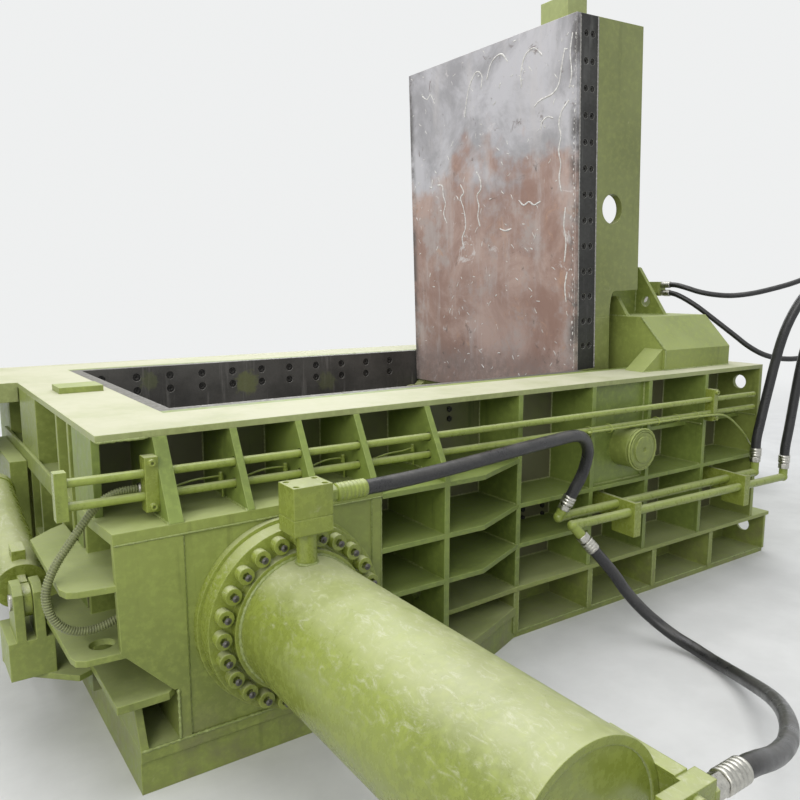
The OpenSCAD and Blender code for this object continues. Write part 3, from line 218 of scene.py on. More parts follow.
# Material helpers
class Mat:
    """Short way to wire one node material."""
    def __init__(self, name):
        self.mat = bpy.data.materials.new(name)
        self.mat.use_nodes = True
        self.nt = self.mat.node_tree
        self.bsdf = next(n for n in self.nt.nodes if n.type == "BSDF_PRINCIPLED")
        self.co = self.nt.nodes.new("ShaderNodeTexCoord").outputs["Object"]
        self.geo = self.nt.nodes.new("ShaderNodeNewGeometry")

    def put(self, socket, value):
        """Link a socket to an input, or set the input to a number or a colour."""
        if isinstance(value, bpy.types.NodeSocket):
            self.nt.links.new(value, socket)
        else:
            wide = hasattr(socket.default_value, "__len__")
            if wide and not hasattr(value, "__len__"):
                value = (value, value, value)
            if wide and len(socket.default_value) == 4 and len(value) == 3:
                value = (*value, 1.0)
            socket.default_value = value

    def math(self, op, a, b=None, clamp=False):
        n = self.nt.nodes.new("ShaderNodeMath")
        n.operation = op
        n.use_clamp = clamp
        self.put(n.inputs[0], a)
        if b is not None:
            self.put(n.inputs[1], b)
        return n.outputs[0]

    def noise(self, scale, detail, rough, stretch=None, distortion=0.0):
        """Noise in the object's own metres, finer along an axis with a greater stretch."""
        vec = self.co
        if stretch:
            mp = self.nt.nodes.new("ShaderNodeMapping")
            self.put(mp.inputs["Vector"], vec)
            mp.inputs["Scale"].default_value = stretch
            vec = mp.outputs[0]
        n = self.nt.nodes.new("ShaderNodeTexNoise")
        self.put(n.inputs["Vector"], vec)
        n.inputs["Scale"].default_value = scale
        n.inputs["Detail"].default_value = detail
        n.inputs["Roughness"].default_value = rough
        n.inputs["Distortion"].default_value = distortion
        return n.outputs["Fac"]

    def band(self, value, lo, hi, out_lo=0.0, out_hi=1.0):
        """Smooth step from out_lo to out_hi as the value goes from lo to hi."""
        n = self.nt.nodes.new("ShaderNodeMapRange")
        n.interpolation_type = "SMOOTHSTEP"
        self.put(n.inputs["Value"], value)
        n.inputs["From Min"].default_value = lo
        n.inputs["From Max"].default_value = hi
        n.inputs["To Min"].default_value = out_lo
        n.inputs["To Max"].default_value = out_hi
        return n.outputs[0]

    def mix(self, fac, a, b):
        """Colour a where fac is 0 and b where it is 1."""
        n = self.nt.nodes.new("ShaderNodeMix")
        n.data_type = "RGBA"
        self.put(n.inputs[0], fac)
        self.put(n.inputs[6], a)
        self.put(n.inputs[7], b)
        return n.outputs[2]

    def axis(self, socket, k):
        """One of a vector's three parts."""
        n = self.nt.nodes.new("ShaderNodeSeparateXYZ")
        self.put(n.inputs[0], socket)
        return n.outputs[k]

    def edges(self, radius):
        """1 along sharp edges, from how far a rounded normal turns off the true one."""
        bv = self.nt.nodes.new("ShaderNodeBevel")
        bv.samples = 4
        bv.inputs["Radius"].default_value = radius
        dot = self.nt.nodes.new("ShaderNodeVectorMath")
        dot.operation = "DOT_PRODUCT"
        self.put(dot.inputs[0], bv.outputs[0])
        self.put(dot.inputs[1], self.geo.outputs["True Normal"])
        return self.band(dot.outputs["Value"], 0.995, 0.86), bv.outputs[0]

    def bump(self, height, strength, distance, normal=None):
        n = self.nt.nodes.new("ShaderNodeBump")
        n.inputs["Strength"].default_value = strength
        n.inputs["Distance"].default_value = distance
        self.put(n.inputs["Height"], height)
        if normal is not None:
            self.put(n.inputs["Normal"], normal)
        self.put(self.bsdf.inputs["Normal"], n.outputs[0])

    def finish(self, colour, rough, metallic=0.0):
        """Set the surface and hand over the material."""
        self.put(self.bsdf.inputs["Base Color"], colour)
        self.put(self.bsdf.inputs["Roughness"], rough)
        self.put(self.bsdf.inputs["Metallic"], metallic)
        return self.mat

# Materials
WALL_BACK = 0.858       # how far the recessed wall plates lie from the middle, in metres
DIRT = (0.17, 0.15, 0.10)
PRIMER = (0.055, 0.045, 0.03)
RUBBED = (0.52, 0.52, 0.33)
SPECK = (0.075, 0.065, 0.045)
DRAGGED = (0.62, 0.62, 0.48)

def paint(name, base, shade, dust, dust_amount, rough=0.42, streaks=0.5, scuffs=0.5, radius=0.005,
          ripple=0.25, recess_shade=None, specks=0.0):
    """Worn paint: two tones, marks that run down, dirt low down, dust on top, chips, rubbed edges with a
    painted highlight, and, where given, painted shade on the recessed wall plates.
    """
    m = Mat(name)
    up = m.axis(m.geo.outputs["Normal"], 2)
    height = m.axis(m.co, 2)
    broad = m.noise(1.7, 5, 0.55)
    fine = m.noise(38, 8, 0.65)
    grain = m.noise(240, 3, 0.6)
    col = m.mix(m.band(broad, 0.32, 0.68), shade, base)
    col = m.mix(m.band(fine, 0.42, 0.7, 0.0, 0.45), col, tuple(c * 1.28 for c in base))
    # painted shade: the recessed back plates turn a dull darker colour, for the shade in the recesses, and
    # for thinner paint there
    if recess_shade:
        off = m.math("SUBTRACT", m.math("ABSOLUTE", m.axis(m.co, 1)), WALL_BACK)
        plate = m.band(m.math("ABSOLUTE", off), 0.004, 0.002)
        back = m.math("MULTIPLY", plate, m.band(m.noise(2.6, 7, 0.65), 0.25, 0.6, 0.45, 0.95))
        col = m.mix(back, col, recess_shade)
    # rain and oil marks that run down the upright faces
    run = m.noise(1.0, 4, 0.6, stretch=(17, 17, 1.3))
    drip = m.math("MULTIPLY", m.band(run, 0.60, 0.74), m.band(up, 0.5, 0.1))
    col = m.mix(m.math("MULTIPLY", drip, streaks * 0.55), col, tuple(c * 0.45 for c in shade))
    # grey-brown dirt low down
    dirt = m.math("MULTIPLY", m.band(height, 0.42, 0.0), m.band(m.noise(7, 7, 0.7), 0.38, 0.66))
    col = m.mix(m.math("MULTIPLY", dirt, 0.55), col, DIRT)
    # dust that lies on what faces up
    lie = m.math("MULTIPLY", m.band(up, 0.55, 0.93), m.band(m.noise(3.2, 8, 0.68), 0.22, 0.62, 0.45, 1.0))
    lie = m.math("MULTIPLY", lie, dust_amount)
    col = m.mix(lie, col, dust)
    # chips and scuffs down to dark primer, and pale rubbed spots
    chips = m.band(m.noise(26, 10, 0.78, distortion=0.4), 0.69, 0.73)
    col = m.mix(m.math("MULTIPLY", chips, scuffs * 0.8), col, PRIMER)
    rubbed = m.band(m.noise(9, 9, 0.75, distortion=0.7), 0.64, 0.70)
    col = m.mix(m.math("MULTIPLY", rubbed, scuffs * 0.45), col, RUBBED)
    if specks:
        dots = m.band(m.noise(75, 6, 0.8), 0.64, 0.68)
        dots = m.math("MULTIPLY", dots, m.band(m.noise(4, 5, 0.6), 0.42, 0.58))
        col = m.mix(m.math("MULTIPLY", dots, specks), col, SPECK)
        drag = m.noise(1.0, 9, 0.80, stretch=(34, 15, 34), distortion=1.2)
        pale = m.math("MULTIPLY", m.band(drag, 0.50, 0.68), m.band(up, 0.0, 0.6))
        col = m.mix(m.math("MULTIPLY", pale, specks * 0.6), col, DRAGGED)
    # paler paint along the edges: rubbed paint, and a painted highlight where the edges catch the light
    e, bent = m.edges(radius)
    worn_and_highlit_edges = m.math("MULTIPLY", e, m.band(m.noise(14, 5, 0.6), 0.3, 0.62, 0.25, 0.85))
    col = m.mix(worn_and_highlit_edges, col, tuple(min(1.0, c * 1.55 + 0.03) for c in base))
    gloss = m.band(fine, 0.3, 0.75, rough - 0.07, rough + 0.14)
    r = m.math("ADD", m.math("MULTIPLY", lie, 0.35), gloss, clamp=True)
    h = m.math("ADD", m.math("MULTIPLY", grain, 0.35), m.noise(11, 4, 0.5))
    m.bump(h, ripple, 0.0025, bent)
    return m.finish(col, r)

OLIVE = paint("olive_paint", (0.268, 0.318, 0.078), (0.190, 0.230, 0.052), (0.470, 0.510, 0.260), 0.50,
              scuffs=0.7)
OLIVE_TOP = paint("olive_paint_top_plate", (0.34, 0.38, 0.16), (0.27, 0.30, 0.11), (0.565, 0.555, 0.41), 0.90,
                  scuffs=0.9)
# wall paint: a darker copy of the olive paint, painted shade for the walls' deep recesses, with more painted
# shade on the recessed back plates
OLIVE_SHADED_WALL = paint("olive_paint_wall_shaded", (0.225, 0.290, 0.064), (0.135, 0.178, 0.036), (0.36, 0.42, 0.16), 0.26,
                   streaks=0.8, recess_shade=(0.165, 0.155, 0.095))
LIME = paint("lime_paint", (0.262, 0.312, 0.056), (0.190, 0.228, 0.040), (0.60, 0.61, 0.40), 0.50,
             rough=0.25, scuffs=0.75, streaks=0.3, ripple=0.16, specks=0.8)
TUBE = paint("tube_paint", (0.285, 0.345, 0.070), (0.215, 0.265, 0.050), (0.56, 0.58, 0.36), 0.45,
             rough=0.30, scuffs=0.3, streaks=0.2, radius=0.002, ripple=0.05)
LID_PAINT = paint("lid_paint", (0.238, 0.268, 0.090), (0.180, 0.205, 0.062), (0.42, 0.43, 0.24), 0.5,
                  streaks=0.45, scuffs=0.6)

def wear_steel(name, base, spray=()):
    """Dark rolled plate with scale, drips and grinding marks."""
    m = Mat(name)
    broad = m.noise(2.4, 7, 0.62)
    fine = m.noise(55, 9, 0.7)
    run = m.noise(1.0, 5, 0.65, stretch=(23, 23, 1.7))
    col = m.mix(m.band(broad, 0.35, 0.66), tuple(c * 0.55 for c in base), base)
    col = m.mix(m.math("MULTIPLY", m.band(run, 0.55, 0.72), 0.5), col, tuple(c * 1.9 + 0.03 for c in base))
    col = m.mix(m.math("MULTIPLY", m.band(fine, 0.6, 0.78), 0.45), col, (0.17, 0.105, 0.065))
    up = m.band(m.axis(m.geo.outputs["Normal"], 2), 0.6, 0.95)
    col = m.mix(m.math("MULTIPLY", up, 0.6), col, (0.20, 0.19, 0.16))
    for (p, r, tint, power) in spray:
        dist = m.nt.nodes.new("ShaderNodeVectorMath")
        dist.operation = "DISTANCE"
        m.put(dist.inputs[0], m.co)
        dist.inputs[1].default_value = tuple(p)
        edge = m.math("ADD", dist.outputs["Value"], m.band(m.noise(30, 5, 0.7), 0.3, 0.7, -0.02, 0.02))
        col = m.mix(m.math("MULTIPLY", m.band(edge, r, r * 0.55), power), col, tint)
    # pale edges: worn steel, and a painted highlight along them
    e, bent = m.edges(0.004)
    col = m.mix(m.math("MULTIPLY", e, 0.6), col, (0.42, 0.41, 0.38))
    m.bump(m.math("ADD", fine, m.math("MULTIPLY", m.noise(9, 4, 0.5), 1.3)), 0.3, 0.002, bent)
    return m.finish(col, m.band(fine, 0.3, 0.7, 0.42, 0.72), 0.55)

LINER = wear_steel("wear_liner_steel", (0.128, 0.124, 0.114), [
    (at(1280, 1848, 1010), 0.085, (0.20, 0.22, 0.09), 0.75),
    (at(700, 1848, 1060), 0.060, (0.16, 0.18, 0.08), 0.5),
    (at(1820, 1848, 980), 0.070, (0.17, 0.19, 0.08), 0.45),
])
BLADE = wear_steel("blade_steel", (0.060, 0.060, 0.057))

def rusty_plate():
    """Lid wear face: mill-scale grey at the top, rust and ground patches below."""
    m = Mat("rusty_wear_plate")
    z = m.axis(m.co, 2)
    warp = m.noise(1.3, 6, 0.6)
    high = m.band(m.math("ADD", z, m.band(warp, 0.3, 0.7, -0.30, 0.30)), 2.20, 2.42)
    blot = m.noise(2.1, 9, 0.66, distortion=0.6)
    fine = m.noise(34, 10, 0.72)
    speck = m.noise(120, 4, 0.7)
    rust = m.mix(m.band(blot, 0.36, 0.64), (0.330, 0.205, 0.165), (0.520, 0.385, 0.335))
    rust = m.mix(m.band(m.noise(3.4, 8, 0.7), 0.50, 0.66, 0.0, 0.8), rust, (0.450, 0.390, 0.370))
    orange = m.band(m.noise(5.5, 9, 0.72, distortion=1.0), 0.56, 0.68, 0.0, 0.75)
    rust = m.mix(orange, rust, (0.500, 0.315, 0.225))
    grey = m.mix(m.band(blot, 0.38, 0.62), (0.360, 0.350, 0.365), (0.580, 0.570, 0.595))
    col = m.mix(high, rust, grey)
    streak = m.band(m.noise(1.0, 6, 0.7, stretch=(6, 6, 1.1)), 0.52, 0.72, 0.0, 0.45)
    col = m.mix(streak, col, (0.60, 0.57, 0.56))
    low = m.band(z, 1.26, 1.10)
    col = m.mix(m.math("MULTIPLY", low, m.band(fine, 0.35, 0.6, 0.3, 0.9)), col, (0.300, 0.235, 0.210))
    col = m.mix(m.band(fine, 0.60, 0.74, 0.0, 0.55), col, (0.15, 0.115, 0.10))
    blotch = m.band(m.noise(7.5, 9, 0.72, distortion=0.8), 0.60, 0.68, 0.0, 0.75)
    col = m.mix(blotch, col, (0.17, 0.13, 0.115))
    ground = m.band(m.noise(4.6, 9, 0.74, distortion=1.4), 0.61, 0.68, 0.0, 0.7)
    col = m.mix(ground, col, (0.72, 0.69, 0.68))
    side = m.band(m.math("ABSOLUTE", m.axis(m.co, 1)), 0.655, 0.712)
    soot = m.math("MULTIPLY", side, m.band(m.noise(6, 8, 0.7), 0.36, 0.58, 0.1, 0.85))
    col = m.mix(soot, col, (0.075, 0.068, 0.062))
    col = m.mix(m.band(speck, 0.66, 0.74, 0.0, 0.5), col, (0.74, 0.72, 0.70))
    rub = m.band(m.noise(1.0, 7, 0.75, stretch=(34, 34, 5)), 0.64, 0.72, 0.0, 0.4)
    col = m.mix(rub, col, (0.78, 0.76, 0.74))
    # pale edges: rubbed steel, and a painted highlight along them
    e, bent = m.edges(0.004)
    col = m.mix(m.math("MULTIPLY", e, 0.8), col, (0.78, 0.75, 0.72))
    m.bump(m.math("ADD", fine, m.math("MULTIPLY", blot, 1.2)), 0.35, 0.002, bent)
    return m.finish(col, m.band(blot, 0.3, 0.7, 0.45, 0.75), 0.12)

RUST = rusty_plate()

def bright(name, base, rough, brush=(14, 160, 14)):
    """Bare steel with fine marks from machining and some grime."""
    m = Mat(name)
    fine = m.noise(70, 6, 0.6)
    turn = m.noise(1.0, 4, 0.6, stretch=brush)
    col = m.mix(m.band(fine, 0.35, 0.7), tuple(c * 0.72 for c in base), base)
    col = m.mix(m.band(turn, 0.55, 0.7, 0.0, 0.35), col, tuple(min(1, c * 1.25) for c in base))
    col = m.mix(m.band(m.noise(8, 8, 0.7), 0.58, 0.70, 0.0, 0.5), col, (0.20, 0.16, 0.11))
    e, bent = m.edges(0.0025)
    m.bump(m.math("ADD", turn, fine), 0.12, 0.001, bent)
    return m.finish(col, m.band(fine, 0.3, 0.7, rough - 0.06, rough + 0.16), 1.0)

CHROME = bright("ground_rod_steel", (0.60, 0.60, 0.58), 0.18)
ZINC = bright("zinc_fitting", (0.56, 0.55, 0.50), 0.30, (120, 120, 120))

def bolt_black():
    """Blackened screws, rubbed at the edges, with a painted highlight along them."""
    m = Mat("blackened_bolt")
    fine = m.noise(150, 5, 0.6)
    col = m.mix(m.band(fine, 0.4, 0.7), (0.022, 0.022, 0.021), (0.075, 0.072, 0.066))
    e, bent = m.edges(0.002)
    col = m.mix(m.math("MULTIPLY", e, 0.5), col, (0.25, 0.24, 0.22))
    m.bump(fine, 0.2, 0.001, bent)
    return m.finish(col, m.band(fine, 0.3, 0.7, 0.38, 0.6), 0.6)

BLACK = bolt_black()

HOSE_BLACK = (0.017, 0.017, 0.018)

def rubber():
    """Black hose cover with a faint weave, and dust on top."""
    m = Mat("hose_rubber")
    up = m.band(m.axis(m.geo.outputs["Normal"], 2), -0.1, 0.95)
    fine = m.noise(160, 5, 0.6)
    patch = m.noise(9, 8, 0.7)
    weave = m.noise(420, 2, 0.5)
    col = m.mix(m.band(fine, 0.35, 0.7), HOSE_BLACK, tuple(c * 1.9 for c in HOSE_BLACK))
    lie = m.math("MULTIPLY", up, m.band(patch, 0.35, 0.65))
    col = m.mix(m.math("MULTIPLY", lie, 0.22), col, (0.21, 0.20, 0.175))
    col = m.mix(m.band(m.noise(45, 8, 0.75), 0.63, 0.72, 0.0, 0.4), col, (0.28, 0.27, 0.24))
    m.bump(m.math("ADD", weave, m.math("MULTIPLY", fine, 0.6)), 0.35, 0.0012)
    return m.finish(col, m.band(patch, 0.3, 0.7, 0.24, 0.46))

RUBBER = rubber()
GUARD = paint("hose_guard_spiral", (0.200, 0.225, 0.085), (0.120, 0.130, 0.060), (0.42, 0.43, 0.28), 0.4,
              rough=0.34, scuffs=0.6, radius=0.001, ripple=0.04)

def weld(name, base, hot):
    """Rippled bead, with brighter spots."""
    m = Mat(name)
    fine = m.noise(60, 6, 0.6)
    col = m.mix(m.band(fine, 0.35, 0.68), tuple(c * 0.8 for c in base), base)
    col = m.mix(m.band(m.noise(150, 3, 0.6), 0.55, 0.68, 0.0, 0.6), col, hot)
    m.bump(m.noise(300, 4, 0.6), 0.4, 0.0012)
    return m.finish(col, m.band(fine, 0.3, 0.7, 0.26, 0.42))

WELD = weld("painted_weld", (0.290, 0.345, 0.110), (0.46, 0.50, 0.25))
WELD_PALE = weld("pale_painted_weld", (0.400, 0.430, 0.190), (0.66, 0.68, 0.46))
WELD_BARE = weld("bare_weld", (0.30, 0.29, 0.27), (0.72, 0.70, 0.66))

def chalk():
    """Dry white marks."""
    m = Mat("white_marks")
    fine = m.noise(90, 6, 0.7)
    col = m.mix(m.band(fine, 0.35, 0.65), (0.55, 0.53, 0.50), (0.88, 0.87, 0.84))
    m.bump(fine, 0.5, 0.001)
    return m.finish(col, m.band(fine, 0.3, 0.7, 0.7, 0.9))

CHALK = chalk()

MATERIAL_OF = {
    "top_flange": OLIVE_TOP, "lid_top_block": OLIVE_TOP,
    "near_wall": OLIVE_SHADED_WALL, "far_wall": OLIVE_SHADED_WALL,
    "lid_frame": LID_PAINT, "lid_arms": LID_PAINT,
    "lid_wear_plate": RUST, "lid_blades": BLADE, "lid_blade_bolts": BLACK, "liner_bolts": BLACK,
    "near_liner": LINER, "far_liner": LINER, "left_liner": LINER, "floor_liner": LINER,
    "side_ram_face": LINER, "main_ram_face": LINER,
    "side_rod": CHROME, "main_rod": CHROME, "lid_cyl_rod": CHROME, "gate_cyl_rod": CHROME,
    "hinge_pins": ZINC, "lid_cyl_pin": ZINC, "gate_cyl_pin": ZINC, "hose_ends": ZINC,
    "inlet_hose": RUBBER, "return_hose": RUBBER, "riser_hoses": RUBBER, "lid_hoses": RUBBER,
    "guarded_hose": GUARD,
    "upper_tubes": TUBE, "lower_tubes": TUBE, "lube_line": TUBE,
}
SLOT_MATERIAL = {"olive_paint": OLIVE, "lime_paint": LIME, "wear_steel": LINER, "rusty_steel": RUST,
                 "dark_bolts": BLACK, "bright_steel": ZINC, "hose_rubber": RUBBER}
slot_of = {s["node"]: s["material_slot"] for s in frame["record"]["subparts"]}
for name, ob in frame["nodes"].items():
    mat = MATERIAL_OF.get(name) or SLOT_MATERIAL[slot_of[name]]
    ob.data.materials.clear()
    ob.data.materials.append(mat)

# Hoses: their routes in the drawing's millimetres, and their outside diameters in metres
def route(points):
    return [at(*p) for p in points]

INLET = route([
    (746, -311, 932), (790, -311, 932), (880, -309, 933), (1010, -305, 937), (1150, -298, 944),
    (1300, -288, 952), (1450, -275, 959), (1600, -258, 964), (1730, -240, 966), (1830, -222, 966),
    (1889, -211, 959), (1938, -197, 940), (1979, -180, 908), (2009, -162, 866), (2024, -142, 819),
    (2028, -123, 768), (2018, -109, 722), (2009, -100, 696), (1998, -90, 663), (1984, -79, 630)])
RETURN = route([
    (2033, -178, 434), (2051, -190, 409), (2088, -216, 357), (2125, -243, 301), (2161, -279, 230),
    (2200, -335, 159), (2238, -400, 102), (2262, -480, 62), (2270, -570, 42), (2252, -670, 36),
    (2210, -770, 50), (2140, -870, 82), (2050, -970, 126), (1945, -1070, 178), (1830, -1165, 232),
    (1705, -1255, 285), (1570, -1340, 338), (1430, -1415, 392), (1290, -1480, 445), (1150, -1525, 492),
    (1030, -1550, 537), (978, -1555, 549), (938, -1555, 550)])
RISERS = [
    route([(3520, -55, 656), (3521, -55, 728), (3534, -62, 820), (3548, -72, 930), (3560, -85, 1040),
           (3568, -100, 1150), (3572, -118, 1250), (3580, -138, 1340), (3596, -160, 1420),
           (3622, -182, 1490), (3655, -205, 1550)]),
    route([(3690, -130, 606), (3691, -131, 678), (3700, -138, 780), (3708, -146, 900), (3712, -156, 1020),
           (3714, -168, 1130), (3718, -182, 1230), (3728, -198, 1320), (3748, -214, 1400),
           (3776, -230, 1465)])]
LID_HOSES = [
    route([(3910, 873, 1585), (3910, 846, 1585), (3921, 804, 1581), (3950, 745, 1562), (3990, 690, 1540),
           (4050, 620, 1522), (4130, 540, 1515), (4220, 450, 1530), (4320, 370, 1560), (4420, 300, 1595),
           (4520, 235, 1640)]),
    route([(3910, 873, 1530), (3910, 846, 1530), (3925, 803, 1517), (3955, 750, 1485), (3990, 690, 1440),
           (4030, 630, 1385), (4075, 560, 1320), (4120, 490, 1255), (4165, 420, 1190), (4220, 350, 1140),
           (4290, 290, 1115), (4370, 230, 1110), (4460, 170, 1125)])]
GUARDED = route([
    (150, 30, 950), (114, 30, 950), (78, 29, 949), (44, 26, 942), (12, 21, 927), (-16, 15, 905),
    (-42, 9, 877), (-68, 3, 847), (-94, -3, 816), (-120, -9, 785), (-142, -15, 754), (-159, -21, 722),
    (-169, -27, 690), (-170, -33, 657), (-162, -39, 623), (-144, -44, 592), (-116, -48, 568),
    (-82, -51, 556), (-46, -53, 554), (-10, -54, 561), (26, -55, 573), (60, -56, 582), (92, -56, 585),
    (119, -56, 585)])
HOSE_D = 0.052
LID_HOSE_D = 0.034
GUARD_D = 0.030
HOSE_R = HOSE_D / 2
LID_HOSE_R = LID_HOSE_D / 2
GUARD_R = GUARD_D / 2
HOSE_STEP = 0.012       # distance between a hose's cross-sections
GUARD_STEP = 0.004      # the same inside the spiral guard
COIL_PITCH = 0.0082     # from one turn of the spiral to the next
COIL_WIRE = 0.0023      # radius of its wire
COIL_R = GUARD_R - 0.0024
CORE_R = GUARD_R - 0.0032
FERRULE_WALL = 0.005    # how far a ferrule stands out from its hose
CRIMP_PITCH = 0.014
END_REACH = 0.060       # from a hose's last point to the nut of its end fitting
HEXAGON_ROWS = (1, 2, 3, 4)

def hose(name, points, diameter, node):
    """Rubber hose along a route."""
    line = smooth_line(points, HOSE_STEP)
    radii = [diameter / 2 * (1 + 0.006 * math.sin(i * 1.3)) for i in range(len(line))]
    m = Mesh()
    sweep(m, line, radii, 20)
    ob = m.make(name, RUBBER, "frame", "hose_rubber", (node,))

def end_fitting(m, line, diameter):
    """Swaged ferrule and hexagon nut on a hose's far end, beyond its last point."""
    u = (line[-1] - line[-3]).normalized()
    p = line[-1] + u * END_REACH
    r = diameter / 2
    full = r + FERRULE_WALL
    waist = r + 0.0035
    shell = [(0.0, r * 0.62), (0.0, r + 0.004), (0.004, full), (0.022, full), (0.025, waist), (0.030, waist),
             (0.033, full), (0.052, full), (0.055, waist), (0.060, waist), (0.063, full), (0.080, full),
             (0.084, r + 0.0025), (0.084, r * 0.98)]
    nut = [(-0.003, r * 0.55), (-0.003, r * 0.78), (0.0, r * 0.80), (0.026, r * 0.80), (0.030, r * 0.74),
           (0.032, r * 0.55), (0.040, r * 0.53), (0.040, r * 0.3)]
    lathe(m, p, -u, shell, 28)
    lathe(m, p, u, nut, 24, False, hexes=HEXAGON_ROWS)

def ferrule(m, p, d, length, hose_r, nut=0.030):
    """Crimped ferrule from its base at p along d, with a hexagon nut of the given length at the base."""
    r = hose_r + FERRULE_WALL
    base = [(0.0, r * 0.45), (0.0, r * 0.93), (0.002, r * 0.965), (nut - 0.002, r * 0.965), (nut, r * 0.93),
            (nut, r * 0.70), (nut + 0.004, r * 0.70)]
    lathe(m, p, d, base, 30, False, hexes=HEXAGON_ROWS)
    shell = [(nut + 0.003, r * 0.62), (nut + 0.003, r * 0.94), (nut + 0.006, r)]
    x = nut + 0.006
    while x + CRIMP_PITCH < length - 0.004:
        shell += [(x + 0.009, r), (x + 0.0105, r * 0.955), (x + 0.0125, r * 0.955), (x + CRIMP_PITCH, r)]
        x += CRIMP_PITCH
    shell += [(length - 0.004, r), (length, hose_r + 0.0022), (length, hose_r * 0.98)]
    lathe(m, p, d, shell, 32)

hose("inlet_hose_tube", INLET, HOSE_D, "inlet_hose")
hose("return_hose_tube", RETURN, HOSE_D, "return_hose")
OPEN_HOSES = (("riser_fitting_%d", "riser_hose_tube_%d", "riser_hoses", HOSE_D, RISERS),
              ("lid_hose_fitting_%d", "lid_hose_tube_%d", "lid_hoses", LID_HOSE_D, LID_HOSES))
for (fitting_name, tube_name, node, diameter, routes) in OPEN_HOSES:
    for k, points in enumerate(routes, 1):
        end = Mesh()
        end_fitting(end, smooth_line(points, HOSE_STEP), diameter)
        piece = end.make(fitting_name % k, ZINC, "frame", "bright_steel")
        hose(tube_name % k, points, diameter, node)

# Hose in its spiral guard, at the left end
def spiral(line):
    """Points of the guard's wire, wound round a line."""
    rows = []
    side = None
    run = 0.0
    for i, p in enumerate(line):
        t = (line[min(i + 1, len(line) - 1)] - line[max(i - 1, 0)]).normalized()
        if side is None:
            side, _ = square_to(t)
        side = (side - t * side.dot(t)).normalized()
        if i:
            run += (p - line[i - 1]).length
        rows.append((p, side, side.cross(t), run / COIL_PITCH * 2 * math.pi))
    wire = []
    for (p, s0, u0, a0), (q, s1, u1, a1) in zip(rows, rows[1:]):
        for k in range(5):
            f = k / 5
            a = a0 + (a1 - a0) * f
            out = s0.lerp(s1, f) * math.cos(a) + u0.lerp(u1, f) * math.sin(a)
            wire.append(p.lerp(q, f) + out * COIL_R)
    return wire

guard_line = smooth_line(GUARDED, GUARD_STEP)
guard = Mesh()
sweep(guard, guard_line, CORE_R, 16)
sweep(guard, spiral(guard_line), COIL_WIRE, 5)
guard_ob = guard.make("guarded_hose_tube", GUARD, "frame", "hose_rubber", ("guarded_hose",))

# Ferrules at the ends that are fixed to the machine
INLET_DIR = unit(3, -2.5, 8)            # how the two elbows of the lower tubes point
RETURN_DIR = unit(5, -3.5, -7)
fittings = Mesh()
ferrule(fittings, at(840, -1555, 550), ALONG, 0.120, HOSE_R, 0.036)
ferrule(fittings, at(1955, -55, 552) + INLET_DIR * 0.040, INLET_DIR, 0.070, HOSE_R, 0.024)
ferrule(fittings, at(1965, -130, 530) + RETURN_DIR * 0.060, RETURN_DIR, 0.090, HOSE_R)
ferrule(fittings, at(3520, -55, 598), UP, 0.080, HOSE_R)
ferrule(fittings, at(3690, -130, 551), UP, 0.078, HOSE_R)
for z in (1585, 1530):
    ferrule(fittings, at(3910, 920, z), -ACROSS, 0.070, LID_HOSE_R, 0.020)
ferrule(fittings, at(172, 30, 950), -ALONG, 0.045, GUARD_R, 0.014)
ferrule(fittings, at(176, -56, 585), -ALONG, 0.080, GUARD_R, 0.022)
fittings.make("hose_fittings", ZINC, "frame", "bright_steel", ("hose_ends",))

# Long painted sleeve at the side cylinder's upper port
SLEEVE_AT = at(618, -311, 932)
SLEEVE_R = HOSE_R + FERRULE_WALL
GROOVES = 6
GROOVE_PITCH = 0.015
sleeve = Mesh()
lathe(sleeve, SLEEVE_AT, ALONG, [
    (0.0, 0.014), (0.0, SLEEVE_R * 0.93), (0.002, SLEEVE_R * 0.965), (0.032, SLEEVE_R * 0.965),
    (0.034, SLEEVE_R * 0.93), (0.034, SLEEVE_R * 0.72), (0.040, SLEEVE_R * 0.72)],
    30, False, hexes=HEXAGON_ROWS)
shell = [(0.039, 0.014), (0.039, SLEEVE_R * 0.95), (0.042, SLEEVE_R)]
for k in range(GROOVES):
    x = 0.052 + k * GROOVE_PITCH
    shell += [(x, SLEEVE_R), (x + 0.0015, SLEEVE_R * 0.965), (x + 0.0045, SLEEVE_R * 0.965),
              (x + 0.006, SLEEVE_R)]
shell += [(0.146, SLEEVE_R), (0.150, HOSE_R + 0.0022), (0.150, HOSE_R * 0.98)]
lathe(sleeve, SLEEVE_AT, ALONG, shell, 36)
sleeve.make("inlet_sleeve", TUBE, "frame", "lime_paint")

# Welds on the walls and the base: each lies half a millimetre or so off the plates that it joins
WALL_FACE = 261.5       # outside of a wall's plate
FLANGE_LOW = 1117.5     # underside of the top flange
FLANGE_TOP = 1140.5
BASE_TOP = 27
PANEL_FACE = 31.5       # plate behind the hinge boss
SHELF_TOP = 867.5       # upper shelf of the side ram's housing
HALF_RIB = 12.5         # half of a rib's thickness
BAY_BEAD = 0.0048
BAYS = [                # left, right, bottom and top of each bay between the ribs and shelves
    (218, 430, 867, 1118), (454, 673, 867, 1118), (697, 913, 867, 1118), (937, 1238, 867, 1118),
    (1263, 1746, 840, 1118), (1770, 2213, 632, 1118), (2647, 3090, 850, 1118), (3114, 3599, 850, 1118),
    (2647, 3090, 632, 830), (3114, 3599, 632, 830), (950, 1238, 632, 820), (1263, 1746, 632, 820),
    (950, 1238, 447, 612), (1263, 1746, 447, 612), (1770, 2213, 447, 612), (1263, 1746, 250, 427),
    (1770, 2213, 250, 427), (2237, 2622, 250, 612), (2647, 3090, 250, 612), (3114, 3599, 250, 612)]
FAR_BAYS = [
    (25, 288, 867, 1118), (313, 768, 867, 1118), (793, 1238, 867, 1118), (1263, 1746, 840, 1118),
    (1770, 2213, 632, 1118), (2647, 3090, 850, 1118), (3114, 3599, 850, 1118), (1263, 1746, 447, 612),
    (2237, 2622, 250, 612), (3114, 3599, 250, 612)]

